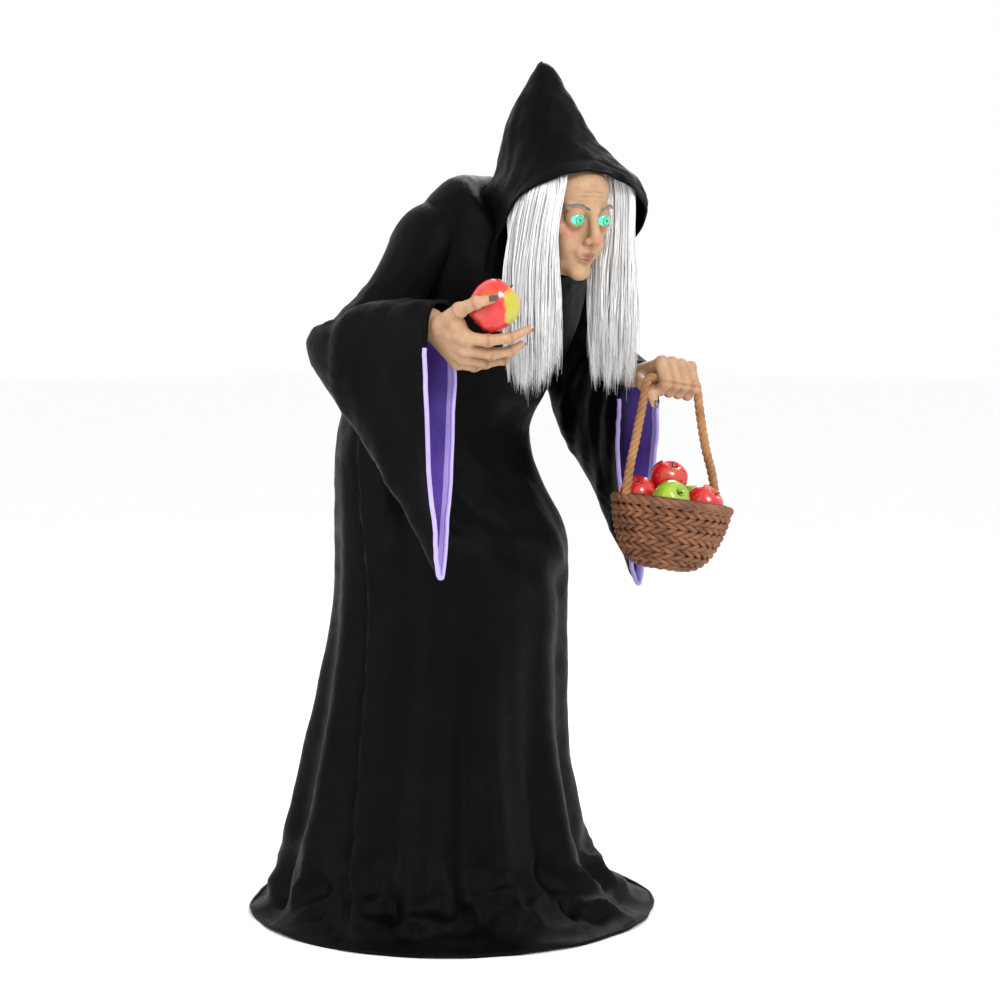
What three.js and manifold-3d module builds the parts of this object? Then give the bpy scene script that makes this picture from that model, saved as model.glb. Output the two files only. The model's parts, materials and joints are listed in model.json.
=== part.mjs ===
// A stooped, hooded witch figure for seasonal display, about 1.66 m tall, standing on a steel base frame.
// Millimetres: +Z up, the figure faces -Y, and her left hand is on +X. The origin is the centre of the
// base plate's underside, on the floor.
//
// The stand carries a control box and a waist motor. A pinion turns the torso through a wide gear. The
// torso carries a neck motor, which turns the head, and a shoulder motor, which raises the right arm. The
// left arm is fixed, and its fist holds the rope handle of a basket, which swings. Cloth is thin walls.
import * as THREE from "three";
import { mergeVertices } from "three/addons/utils/BufferGeometryUtils.js";
import Module from "manifold-3d";

const wasm = await Module();
wasm.setup();

// ---------------------------------------------------------------- driving dimensions
const GAP = 0.3; // clearance left between pieces that touch
const CLOTH = 3; // thickness of a cloth wall
const MOULDED = 3; // thickness of a moulded plastic wall
const CLOTH_SIDES = 22; // points round a cloth ring

const FOOT_REACH = 262; // from the origin to the middle of each rubber foot
const LEG_HEIGHT = 19; // axis of the leg tubes above the floor
const LEG_RADIUS = 11;
const TUBE_WALL = 1.5;
const LOWER_POLE_RADIUS = 16;
const UPPER_POLE_RADIUS = 14;
const LOWER_POLE = [8, 500]; // bottom and top
const UPPER_POLE = [420, 872];
const POLE_BUTTON_HEIGHT = 470;

const BOX = { width: 150, depth: 52, height: 130, bottom: 560, front: 22 }; // control box on the upper pole
const WAIST = { bottom: 880, top: 962, halfWidth: 62, front: -60, back: 84 }; // waist gearbox
const SHAFT_RADIUS = 10; // waist shaft
const MODULE = 2.5; // tooth size of the waist gears
const GEAR_TEETH = 38;
const PINION_TEETH = 10;
const GEAR_CENTRES = (MODULE * (GEAR_TEETH + PINION_TEETH)) / 2;
const GEAR_BOTTOM = 944;
const GEAR_THICKNESS = 10;

const NECK_Y = -245; // vertical neck axis
const HEAD_YAW = -8; // degrees, the head looks a little to her right
const HEAD_PITCH = 12; // degrees, the head looks a little down
const HEAD_CENTRE = v(0, -302, 1371);
const EYE = { x: 31, y: -76, z: 4, radius: 17 }; // in the head's own frame

const SHOULDER = { y: -115, z: 1330 }; // the line through both shoulders
const SHOULDER_R = v(-190, SHOULDER.y, SHOULDER.z);
const ELBOW_R = v(-338, -28, 1125);
const WRIST_R = v(-322, -285, 1178);
const SHOULDER_L = v(190, SHOULDER.y, SHOULDER.z);
const ELBOW_L = v(300, -60, 1040);
const WRIST_L = v(234, -305, 1065);
const UPPER_ARM_RADIUS = 11;
const FOREARM_RADIUS = 9;
const IN_HAND = 6; // a forearm's end past the wrist point

const APPLE_RADIUS = 45;
const APPLE_CENTRE = v(-285, -405, 1197); // the held apple
const GRIP = v(205, -400, 1055); // middle of the left fist, on the basket handle's axis
const GRIP_YAW = -15; // degrees, the handle's axis from +X
const GRIP_TILT = 9; // degrees, the handle's axis drops towards her left
const ROPE_RADIUS = 8.5;
const BASKET = { rim: 118, drop: 230, depth: 130 }; // rim radius, grip to rim, rim to underside
const TRAY = 3; // thickness of the disc under the apples

// ---------------------------------------------------------------- materials
const material = (color, roughness, metalness = 0) =>
  new THREE.MeshStandardMaterial({ color, roughness, metalness });
const STEEL = material(0x2b2c2f, 0.5, 0.8);
const PLASTIC = material(0x1c1d20, 0.6);
const MOTOR_METAL = material(0xa8abb0, 0.35, 0.9);
const GEAR_PLASTIC = material(0xe6e2d4, 0.5);
const RUBBER = material(0x151515, 0.9);
const CIRCUIT = material(0x1f5a36, 0.6);
const FOAM = material(0x4a4a4e, 0.95);
const ROBE = material(0x111113, 0.85);
const SKIN = material(0xd8b48a, 0.6);
const EYE_GREEN = material(0x12d98a, 0.2);
const HAIR = material(0xe4e4e2, 0.6);
const APPLE_RED = material(0xc81a1e, 0.25);
const APPLE_GREEN = material(0x86c22a, 0.25);
const WICKER = material(0x7d4b2a, 0.7);
const ROPE = material(0xa8713f, 0.8);

// ---------------------------------------------------------------- small helpers
function v(x, y, z) {
  return new THREE.Vector3(x, y, z);
}
const radians = THREE.MathUtils.degToRad;
const Y_AXIS = v(0, 1, 0);

const figure = new THREE.Group();

function add(name, geometry, look, parent = figure) {
  const mesh = new THREE.Mesh(geometry, look);
  mesh.name = name;
  parent.add(mesh);
  return mesh;
}

// Turns a geometry built along +Y so that it runs from one point to another, starting at the first.
function along(geometry, from, to) {
  const turn = new THREE.Quaternion().setFromUnitVectors(
    Y_AXIS,
    to.clone().sub(from).normalize(),
  );
  return geometry.applyQuaternion(turn).translate(from.x, from.y, from.z);
}

function rod(from, to, radius, sides = 14) {
  const length = from.distanceTo(to);
  const shape = new THREE.CylinderGeometry(radius, radius, length, sides);
  return along(shape.translate(0, length / 2, 0), from, to);
}

function tube(from, to, radius, wall = TUBE_WALL, sides = 14) {
  return along(
    ring(radius - wall, radius, 0, from.distanceTo(to), sides),
    from,
    to,
  );
}

// A ring about +Y between two radii and two heights.
function ring(inner, outer, low, high, sides = 18) {
  return lathe(
    [
      [inner, low],
      [outer, low],
      [outer, high],
      [inner, high],
      [inner, low],
    ],
    sides,
  );
}

// A turned solid about +Y through [radius, height] points.
function lathe(points, sides = 18) {
  const profile = points.map(([r, h]) => new THREE.Vector2(r, h));
  return faceOut(new THREE.LatheGeometry(profile, sides));
}

// The same, stood up about +Z.
const upright = (geometry) => geometry.rotateX(Math.PI / 2);

function box(low, high) {
  const size = high.clone().sub(low);
  const middle = low.clone().add(high).multiplyScalar(0.5);
  return new THREE.BoxGeometry(size.x, size.y, size.z).translate(
    middle.x,
    middle.y,
    middle.z,
  );
}

function ball(centre, radius, sides = 16) {
  return new THREE.SphereGeometry(radius, sides, sides / 2).translate(
    centre.x,
    centre.y,
    centre.z,
  );
}

// A rounded limb between two points.
function limb(from, to, radius, sides = 5) {
  const length = from.distanceTo(to);
  const shape = new THREE.CapsuleGeometry(radius, length, 1, sides);
  return along(shape.translate(0, length / 2, 0), from, to);
}

// A geometry reduced to merged positions, with its faces pointing out.
function faceOut(geometry) {
  const bare = new THREE.BufferGeometry();
  bare.setAttribute("position", geometry.getAttribute("position"));
  if (geometry.index) bare.setIndex(geometry.index);
  const merged = mergeVertices(bare, 1e-3);
  const index = merged.index.array;
  const at = (i) => v().fromBufferAttribute(merged.attributes.position, i);
  let volume = 0;
  for (let i = 0; i < index.length; i += 3) {
    volume += at(index[i]).dot(at(index[i + 1]).cross(at(index[i + 2])));
  }
  if (volume < 0) merged.setIndex([...index].reverse());
  return merged;
}

function solid(geometry) {
  const merged = faceOut(geometry);
  return new wasm.Manifold(
    new wasm.Mesh({
      numProp: 3,
      vertProperties: new Float32Array(merged.attributes.position.array),
      triVerts: new Uint32Array(merged.index.array),
    }),
  );
}

function fromSolid(body) {
  const mesh = body.getMesh();
  const geometry = new THREE.BufferGeometry();
  geometry.setAttribute(
    "position",
    new THREE.BufferAttribute(new Float32Array(mesh.vertProperties), 3),
  );
  return geometry.setIndex(new THREE.BufferAttribute(mesh.triVerts, 1));
}

const join = (...geometries) =>
  fromSolid(geometries.map(solid).reduce((a, b) => a.add(b)));
const cut = (geometry, ...tools) =>
  fromSolid(tools.map(solid).reduce((a, b) => a.subtract(b), solid(geometry)));
const common = (a, b) => fromSolid(solid(a).intersect(solid(b)));

// A solid through rings of points. It closes with a fan at each end, or runs back to its first ring.
function loft(rings, closed = false) {
  const sides = rings[0].length;
  const points = rings.flat();
  const index = [];
  const last = closed ? rings.length : rings.length - 1;
  for (let i = 0; i < last; i++) {
    const next = ((i + 1) % rings.length) * sides;
    for (let j = 0; j < sides; j++) {
      const a = i * sides + j;
      const b = i * sides + ((j + 1) % sides);
      const c = next + j;
      const d = next + ((j + 1) % sides);
      index.push(a, b, d, a, d, c);
    }
  }
  if (!closed) {
    for (const [i, flip] of [
      [0, true],
      [rings.length - 1, false],
    ]) {
      const centre = points.length;
      points.push(
        rings[i]
          .reduce((sum, p) => sum.add(p), v(0, 0, 0))
          .divideScalar(sides),
      );
      for (let j = 0; j < sides; j++) {
        const a = i * sides + j;
        const b = i * sides + ((j + 1) % sides);
        index.push(...(flip ? [b, a, centre] : [a, b, centre]));
      }
    }
  }
  const geometry = new THREE.BufferGeometry().setFromPoints(points);
  return faceOut(geometry.setIndex(index));
}

// A cloth wall open at both ends, from a function that gives a station's ring, pulled in by an inset.
function clothTube(stations, ringOf) {
  const outer = stations.map((s) => ringOf(s, 0));
  const inner = stations.map((s) => ringOf(s, CLOTH)).reverse();
  return loft([...outer, ...inner], true);
}

// A superellipse point: power 2 is an ellipse, and more is squarer.
function superellipse(angle, halfX, halfY, power = 2) {
  const c = Math.cos(angle);
  const s = Math.sin(angle);
  return [
    halfX * Math.sign(c) * Math.abs(c) ** (2 / power),
    halfY * Math.sign(s) * Math.abs(s) ** (2 / power),
  ];
}

const turns = (count) =>
  Array.from({ length: count }, (_, i) => (2 * Math.PI * i) / count);

function pathTube(points, radius, steps, sides) {
  const shape = new THREE.Shape(
    turns(sides).map(
      (a) => new THREE.Vector2(radius * Math.cos(a), radius * Math.sin(a)),
    ),
  );
  const path = new THREE.CatmullRomCurve3(points, false, "centripetal");
  return faceOut(
    new THREE.ExtrudeGeometry(shape, { steps, extrudePath: path }),
  );
}

// ---------------------------------------------------------------- base frame
const diagonal = (k) => radians(45 + 90 * k);
const outward = (k, reach, z) =>
  v(reach * Math.cos(diagonal(k)), reach * Math.sin(diagonal(k)), z);
const LEG_END = FOOT_REACH + 6;

function baseHub() {
  const stubs = [0, 1, 2, 3].map((k) =>
    rod(outward(k, 14, LEG_HEIGHT), outward(k, 78, LEG_HEIGHT), 15),
  );
  const bores = [0, 1, 2, 3].map((k) =>
    rod(
      outward(k, 36, LEG_HEIGHT),
      outward(k, 90, LEG_HEIGHT),
      LEG_RADIUS + GAP,
    ),
  );
  const body = join(
    box(v(-75, -75, 0), v(75, 75, 5)),
    rod(v(0, 0, 3), v(0, 0, 90), 24),
    ...stubs,
  );
  const poleBore = rod(
    v(0, 0, LOWER_POLE[0] - GAP),
    v(0, 0, 95),
    LOWER_POLE_RADIUS + GAP,
  );
  return cut(body, poleBore, ...bores);
}

function footCap(k) {
  const centre = outward(k, FOOT_REACH, 0);
  const block = rod(centre, centre.clone().setZ(36), 20, 16);
  const bore = rod(
    outward(k, FOOT_REACH - 30, LEG_HEIGHT),
    outward(k, LEG_END + GAP, LEG_HEIGHT),
    LEG_RADIUS + GAP,
  );
  return cut(block, bore);
}

function addBase() {
  add("base_hub", baseHub(), STEEL);
  for (let k = 0; k < 4; k++) {
    const leg = tube(
      outward(k, 37, LEG_HEIGHT),
      outward(k, LEG_END, LEG_HEIGHT),
      LEG_RADIUS,
    );
    add(`leg_tube_${k + 1}`, leg, STEEL);
    add(`foot_cap_${k + 1}`, footCap(k), RUBBER);
  }
  const hole = rod(
    v(0, 8, POLE_BUTTON_HEIGHT),
    v(0, 24, POLE_BUTTON_HEIGHT),
    4.3,
  );
  add(
    "lower_pole",
    cut(
      tube(v(0, 0, LOWER_POLE[0]), v(0, 0, LOWER_POLE[1]), LOWER_POLE_RADIUS),
      hole,
    ),
    STEEL,
  );
  add(
    "upper_pole",
    cut(
      tube(v(0, 0, UPPER_POLE[0]), v(0, 0, UPPER_POLE[1]), UPPER_POLE_RADIUS),
      hole,
    ),
    STEEL,
  );
  add(
    "pole_button",
    rod(v(0, 8, POLE_BUTTON_HEIGHT), v(0, 19, POLE_BUTTON_HEIGHT), 4, 16),
    MOTOR_METAL,
  );
  const sleeveTop = LOWER_POLE[1];
  const collar = upright(
    lathe([
      [LOWER_POLE_RADIUS + GAP, sleeveTop - 18],
      [22, sleeveTop - 18],
      [22, sleeveTop + 7],
      [UPPER_POLE_RADIUS + GAP, sleeveTop + 7],
      [UPPER_POLE_RADIUS + GAP, sleeveTop + GAP],
      [LOWER_POLE_RADIUS + GAP, sleeveTop + GAP],
      [LOWER_POLE_RADIUS + GAP, sleeveTop - 18],
    ]),
  );
  add("pole_collar", collar, PLASTIC);
}

// ---------------------------------------------------------------- control box
function addControlBox() {
  const half = BOX.width / 2;
  const back = BOX.front + BOX.depth;
  const top = BOX.bottom + BOX.height;
  const clampHeights = [BOX.bottom + 10, BOX.bottom + 40];
  const poleAt = (z) => v(0, 0, z);
  const shell = cut(
    join(
      box(v(-half, BOX.front, BOX.bottom), v(half, back, top)),
      rod(poleAt(clampHeights[0]), poleAt(clampHeights[1]), 23),
    ),
    rod(poleAt(clampHeights[0] - 1), poleAt(clampHeights[1] + 1), UPPER_POLE_RADIUS + GAP),
    box(
      v(-half + MOULDED, BOX.front + MOULDED, BOX.bottom + MOULDED),
      v(half - MOULDED, back + 1, top - MOULDED),
    ),
    box(v(-7, BOX.front - 1, BOX.bottom + 60), v(7, BOX.front + 4, BOX.bottom + 66)),
    rod(v(45, BOX.front - 1, BOX.bottom + 28), v(45, BOX.front + 4, BOX.bottom + 28), 6.3),
    box(v(20, back - 12, BOX.bottom - 1), v(36, back - 6, BOX.bottom + 4)),
  );
  add("control_box_body", shell, PLASTIC);
  const slots = [-2, -1, 0, 1, 2].map((k) =>
    box(v(-62, back, BOX.bottom + 91 + 7 * k), v(-22, back + 5, BOX.bottom + 94 + 7 * k)),
  );
  const cover = cut(
    box(v(-half, back + GAP, BOX.bottom), v(half, back + MOULDED + GAP, top)),
    ...slots,
  );
  add("control_box_cover", cover, PLASTIC);
  const boardY = BOX.front + MOULDED + 6;
  add(
    "circuit_board",
    box(v(-60, boardY, BOX.bottom + 42), v(15, boardY + 1.6, BOX.bottom + 118)),
    CIRCUIT,
  );
  add(
    "speaker",
    along(
      lathe([
        [0, 0],
        [14, 0],
        [14, 9],
        [20, 12],
        [26, 18],
        [26, 20],
        [0, 20],
      ]),
      v(-42, back - 21, BOX.bottom + 91),
      v(-42, back - 1, BOX.bottom + 91),
    ),
    MOTOR_METAL,
  );
  const jackAt = (y) => v(45, y, BOX.bottom + 28);
  const jack = cut(
    join(
      rod(jackAt(BOX.front - 3), jackAt(BOX.front + 16), 6),
      rod(jackAt(BOX.front - 3), jackAt(BOX.front - GAP), 9),
    ),
    rod(jackAt(BOX.front - 4), jackAt(BOX.front + 11), 3),
  );
  add("power_jack", jack, MOTOR_METAL);
  add(
    "mode_switch",
    box(v(22, back - 11.5, BOX.bottom - 5), v(28, back - 6.5, BOX.bottom + 8)),
    RUBBER,
  );
}

// ---------------------------------------------------------------- waist
function addWaist() {
  const { bottom, top, halfWidth, front, back } = WAIST;
  const housing = cut(
    join(
      box(v(-halfWidth, front, bottom), v(halfWidth, back, top - 4)),
      rod(v(0, 0, bottom - 30), v(0, 0, bottom + 1), 22),
    ),
    box(
      v(-halfWidth + MOULDED, front + MOULDED, bottom + 4),
      v(halfWidth - MOULDED, back - MOULDED, top + 1),
    ),
    rod(v(0, 0, bottom - 31), v(0, 0, UPPER_POLE[1] + GAP), UPPER_POLE_RADIUS + GAP),
    box(v(-8, back - 4, bottom + 8), v(8, back + 1, bottom + 16)),
  );
  add("waist_housing", housing, STEEL);
  const cover = cut(
    box(v(-halfWidth, front, top - 4 + GAP), v(halfWidth, back, top)),
    rod(v(0, 0, top - 8), v(0, 0, top + 8), 18.6, 18),
  );
  add("waist_cover", cover, STEEL);
  const bearing = upright(ring(SHAFT_RADIUS + GAP, 18, 0, 8)).translate(0, 0, top - 4 + GAP);
  add("waist_bearing", faceOut(bearing), MOTOR_METAL);
  const motor = join(
    rod(v(0, GEAR_CENTRES - 6, bottom + 4 + GAP), v(0, GEAR_CENTRES - 6, bottom + 44), 22, 18),
    rod(v(0, GEAR_CENTRES, bottom + 43), v(0, GEAR_CENTRES, bottom + 50), 8),
  );
  add("waist_motor", motor, MOTOR_METAL);
  const pinion = join(
    gear(PINION_TEETH, GEAR_BOTTOM - 1, GEAR_THICKNESS + 1.5, 0.5),
    rod(v(0, 0, bottom + 51), v(0, 0, GEAR_BOTTOM), 5, 12),
  ).translate(0, GEAR_CENTRES, 0);
  add("waist_pinion", pinion, MOTOR_METAL);
  const wheel = cut(
    gear(GEAR_TEETH, GEAR_BOTTOM, GEAR_THICKNESS, 0),
    rod(v(0, 0, GEAR_BOTTOM - 1), v(0, 0, GEAR_BOTTOM + 20), SHAFT_RADIUS + GAP),
    ...[0, 1, 2, 3, 4, 5].map((k) => {
      const x = 27 * Math.cos((k * Math.PI) / 3);
      const y = 27 * Math.sin((k * Math.PI) / 3);
      return rod(v(x, y, GEAR_BOTTOM - 1), v(x, y, GEAR_BOTTOM + 20), 9, 12);
    }),
  );
  add("waist_gear", wheel, GEAR_PLASTIC);
  add("waist_shaft", rod(v(0, 0, bottom + 8), v(0, 0, top + 10), SHAFT_RADIUS, 18), MOTOR_METAL);
}

// A spur gear about +Z with straight-flanked teeth. A turn of half a tooth lets a pair mesh across +Y.
function gear(teeth, bottom, thickness, turnByTeeth) {
  const pitch = (MODULE * teeth) / 2;
  const tip = pitch + MODULE * 0.9;
  const root = pitch - MODULE * 1.2;
  const step = (2 * Math.PI) / teeth;
  const profile = [];
  for (let k = 0; k < teeth; k++) {
    const middle = Math.PI / 2 + (k + turnByTeeth) * step;
    for (const [radius, part] of [
      [root, -0.33],
      [tip, -0.12],
      [tip, 0.12],
      [root, 0.33],
    ]) {
      const a = middle + part * step;
      profile.push(new THREE.Vector2(radius * Math.cos(a), radius * Math.sin(a)));
    }
  }
  const shape = new THREE.Shape(profile);
  const body = new THREE.ExtrudeGeometry(shape, { depth: thickness, bevelEnabled: false });
  return faceOut(body.translate(0, 0, bottom));
}

// ---------------------------------------------------------------- robe
// [height, middle y, half width, half depth] of the robe, from the floor to the top of the hump
const ROBE_RINGS = [
  [0, 0, 405, 405],
  [10, 2, 388, 388],
  [38, 15, 342, 342],
  [100, 45, 304, 304],
  [350, 35, 255, 255],
  [600, 5, 232, 232],
  [750, 4, 229, 229],
  [850, 38, 207, 207],
  [950, 50, 192, 192],
  [1050, 5, 196, 196],
  [1150, -62, 200, 196],
  [1230, -98, 203, 183],
  [1300, -128, 198, 172],
  [1350, -147, 186, 158],
  [1390, -148, 158, 128],
  [1420, -146, 120, 92],
  [1440, -142, 76, 54],
  [1448, -140, 34, 24],
];
const ROBE_SPLIT = 930; // where the skirt ends and the turning upper robe starts
const NECK_RADIUS = 148; // opening of the robe round the hood
const NECK_OPENING = [1226, 1500]; // bottom and top of that opening

// The robe's ring at a height, pulled in by an inset.
function robeRing(z, inset) {
  const above = Math.max(1, ROBE_RINGS.findIndex((row) => row[0] >= z));
  const [z0, y0, a0, b0] = ROBE_RINGS[above - 1];
  const [z1, y1, a1, b1] = ROBE_RINGS[above];
  const t = (z - z0) / (z1 - z0);
  const mix = THREE.MathUtils.lerp;
  return turns(CLOTH_SIDES).map((angle) => {
    const [x, y] = superellipse(angle, mix(a0, a1, t) - inset, mix(b0, b1, t) - inset);
    return v(x, y + mix(y0, y1, t), z);
  });
}

const heightsBetween = (low, high) => [
  low,
  ...ROBE_RINGS.map((row) => row[0]).filter((z) => z > low + 2 && z < high - 2),
  high,
];

const ARMHOLE = { radius: 92, from: 120, to: 240 };

function armhole(side, shoulder) {
  return rod(
    v(side * ARMHOLE.from, shoulder.y, shoulder.z - 8),
    v(side * ARMHOLE.to, shoulder.y, shoulder.z - 8),
    ARMHOLE.radius,
    24,
  );
}

function neckCutter(radius) {
  const [low, high] = NECK_OPENING;
  return rod(v(0, NECK_Y, low), v(0, NECK_Y, high), radius, CLOTH_SIDES);
}

function addRobe() {
  const skirt = clothTube(heightsBetween(0, ROBE_SPLIT), robeRing);
  add("robe_skirt", skirt, ROBE);
  const top = ROBE_RINGS.at(-1)[0];
  const heights = heightsBetween(ROBE_SPLIT + 5, top);
  const outer = loft(heights.map((z) => robeRing(z, 0)));
  const innerHeights = heightsBetween(ROBE_SPLIT, top - CLOTH);
  const inner = loft(innerHeights.map((z) => robeRing(z, CLOTH)));
  const neck = neckCutter(NECK_RADIUS);
  const upper = cut(outer, inner, neck, armhole(-1, SHOULDER_R), armhole(1, SHOULDER_L));
  add("robe_upper", upper, ROBE);
}

// ---------------------------------------------------------------- torso frame
const SPINE = [
  v(0, 0, 980),
  v(0, 22, 1060),
  v(0, 5, 1180),
  v(0, -60, 1290),
  v(0, SHOULDER.y, SHOULDER.z),
];
const BAR_END = 178; // half length of the shoulder bar on her left
const HOUSING_R = { from: -184, to: -122 }; // the shoulder motor's housing, along X
const NECK_MOTOR = { bottom: 1208, top: 1252, half: 23 };

const onShoulders = (x) => v(x, SHOULDER.y, SHOULDER.z);

function addTorsoFrame() {
  const plateBottom = WAIST.top + 10 + GAP;
  const spine = pathTube(SPINE, 13, 14, 12);
  const bar = rod(onShoulders(HOUSING_R.to + GAP), onShoulders(BAR_END), 13, 16);
  const neckArm = box(v(-12, NECK_Y - 20, NECK_MOTOR.bottom - 6), v(12, -20, NECK_MOTOR.bottom - GAP));
  const frame = join(
    box(v(-50, -50, plateBottom), v(50, 50, plateBottom + 5)),
    rod(v(0, 0, plateBottom + 1), v(0, 0, 992), 20),
    spine,
    bar,
    neckArm,
    box(v(-12, -30, NECK_MOTOR.bottom - 6), v(12, 12, NECK_MOTOR.bottom + 20)),
  );
  const hollow = rod(onShoulders(-200), onShoulders(200), 11, 16);
  add("torso_frame", cut(frame, hollow), STEEL);

  const half = NECK_MOTOR.half;
  const neckHousing = cut(
    box(v(-half, NECK_Y - half, NECK_MOTOR.bottom), v(half, NECK_Y + half, NECK_MOTOR.top)),
    box(
      v(-half + MOULDED, NECK_Y - half + MOULDED, NECK_MOTOR.bottom + MOULDED),
      v(half - MOULDED, NECK_Y + half - MOULDED, NECK_MOTOR.top - MOULDED),
    ),
    rod(v(0, NECK_Y, NECK_MOTOR.top - 5), v(0, NECK_Y, NECK_MOTOR.top + 5), 9),
  );
  add("neck_housing", neckHousing, PLASTIC);
  add(
    "neck_motor",
    rod(v(0, NECK_Y, NECK_MOTOR.bottom + 4), v(0, NECK_Y, NECK_MOTOR.top - 8), 18),
    MOTOR_METAL,
  );

  const halfHousing = 35;
  const low = onShoulders(HOUSING_R.from).sub(v(0, halfHousing, halfHousing));
  const high = onShoulders(HOUSING_R.to).add(v(0, halfHousing, halfHousing));
  const shoulderHousing = cut(
    box(low, high),
    box(
      low.clone().addScalar(MOULDED),
      v(high.x - MOULDED, high.y - MOULDED, high.z - MOULDED),
    ),
    rod(onShoulders(HOUSING_R.from - 5), onShoulders(HOUSING_R.from + 6), 9),
  );
  add("shoulder_housing", shoulderHousing, PLASTIC);
  add(
    "shoulder_motor",
    rod(onShoulders(HOUSING_R.from + 6), onShoulders(HOUSING_R.to - 6), 22),
    MOTOR_METAL,
  );
  const pad = cut(
    loft([1388, 1410, 1428, 1440].map((z) => robeRing(z, CLOTH + 9))),
    neckCutter(NECK_RADIUS + 8),
  );
  add("hump_pad", pad, FOAM);
}

// ---------------------------------------------------------------- sleeves
// A bell sleeve ring: a superellipse across a direction given by its heading and its fall below level.
function sleeveRing({ at, tall, half, heading, fall = 0, power = 2 }, inset) {
  const h = radians(heading);
  const f = radians(fall);
  const across = v(Math.sin(h), -Math.cos(h), 0);
  const up = v(Math.cos(h) * Math.sin(f), Math.sin(h) * Math.sin(f), Math.cos(f));
  return turns(SLEEVE_SIDES).map((angle) => {
    const [side, rise] = superellipse(angle, half - inset, tall - inset, power);
    return v(...at).addScaledVector(across, side).addScaledVector(up, rise);
  });
}

// A ring moved along its own direction.
function moved(ring, distance) {
  const h = radians(ring.heading);
  const f = radians(ring.fall ?? 0);
  const ahead = v(Math.cos(h) * Math.cos(f), Math.sin(h) * Math.cos(f), -Math.sin(f));
  return { ...ring, at: v(...ring.at).addScaledVector(ahead, distance).toArray() };
}

// A hollow sleeve of an upper and a lower stretch that meet at the elbow, open at the shoulder and the cuff.
function sleeve({ upper, lower }) {
  const stretch = (rings, inset) => loft(rings.map((r) => sleeveRing(r, inset)));
  const innerUpper = [moved(upper[0], -2), ...upper.slice(1, -1), moved(upper.at(-1), -CLOTH)];
  const innerLower = [moved(lower[0], CLOTH), ...lower.slice(1, -1), moved(lower.at(-1), 2)];
  return cut(
    join(stretch(upper, 0), stretch(lower, 0)),
    stretch(innerUpper, CLOTH),
    stretch(innerLower, CLOTH),
  );
}

const SLEEVE_SIDES = 16;
const BELL = 3; // superellipse power of the hanging cuff
const SLEEVE_R = {
  upper: [
    { at: [-166, -115, 1325], tall: 80, half: 80, heading: 180 },
    { at: [-218, -114, 1320], tall: 80, half: 78, heading: 180 },
    { at: [-275, -76, 1210], tall: 86, half: 60, heading: 155 },
    { at: [-336, -34, 1134], tall: 58, half: 46, heading: 150 },
  ],
  lower: [
    { at: [-340, 8, 1122], tall: 40, half: 24, heading: -82 },
    { at: [-349, -44, 1104], tall: 92, half: 44, heading: -80, power: BELL },
    { at: [-340, -165, 1056], tall: 165, half: 52, heading: -78, power: BELL },
    { at: [-314, -298, 968], tall: 256, half: 52, heading: -76, power: BELL },
  ],
};
const SLEEVE_L = {
  upper: [
    { at: [166, -115, 1325], tall: 80, half: 80, heading: 0 },
    { at: [214, -115, 1322], tall: 80, half: 78, heading: 0 },
    { at: [260, -112, 1262], tall: 62, half: 74, heading: 6, fall: 45 },
    { at: [274, -96, 1160], tall: 52, half: 66, heading: 25, fall: 74 },
    { at: [302, -64, 1030], tall: 54, half: 60, heading: 30, fall: 78 },
  ],
  lower: [
    { at: [304, 4, 1016], tall: 40, half: 28, heading: -92 },
    { at: [302, -60, 1004], tall: 106, half: 52, heading: -94, power: BELL },
    { at: [291, -155, 948], tall: 170, half: 56, heading: -98, power: BELL },
    { at: [279, -251, 881], tall: 236, half: 54, heading: -102, power: BELL },
  ],
};

// ---------------------------------------------------------------- arms and hands
function addArms() {
  const hub = join(
    rod(onShoulders(HOUSING_R.from - 14), onShoulders(HOUSING_R.from - GAP), 24),
    rod(onShoulders(HOUSING_R.from - 1), onShoulders(HOUSING_R.from + 5), 8),
    rod(onShoulders(SHOULDER_R.x - 3), ELBOW_R, UPPER_ARM_RADIUS),
  );
  add("right_upper_arm", hub, STEEL);
  add("right_forearm", forearm(ELBOW_R, WRIST_R), STEEL);
  const upperLeft = cut(
    rod(v(208, -115, 1326), ELBOW_L, UPPER_ARM_RADIUS + 2),
    rod(onShoulders(BAR_END - 28), onShoulders(BAR_END + GAP), 30),
  );
  add("left_upper_arm", upperLeft, STEEL);
  add("left_forearm", forearm(ELBOW_L, WRIST_L), STEEL);
  add("sleeve_right", sleeve(SLEEVE_R), ROBE);
  add("sleeve_left", sleeve(SLEEVE_L), ROBE);
}

// A forearm rod from just past the elbow to just inside the hand.
function forearm(elbow, wrist) {
  const direction = wrist.clone().sub(elbow).normalize();
  const start = elbow.clone().addScaledVector(direction, 24);
  const end = wrist.clone().addScaledVector(direction, IN_HAND);
  return rod(start, end, FOREARM_RADIUS, 14);
}

// The hole in a hand that takes the forearm's end.
function wristBore(elbow, wrist) {
  const direction = wrist.clone().sub(elbow).normalize();
  const start = wrist.clone().addScaledVector(direction, -40);
  const end = wrist.clone().addScaledVector(direction, IN_HAND + GAP);
  return rod(start, end, FOREARM_RADIUS + GAP, 14);
}

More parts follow.
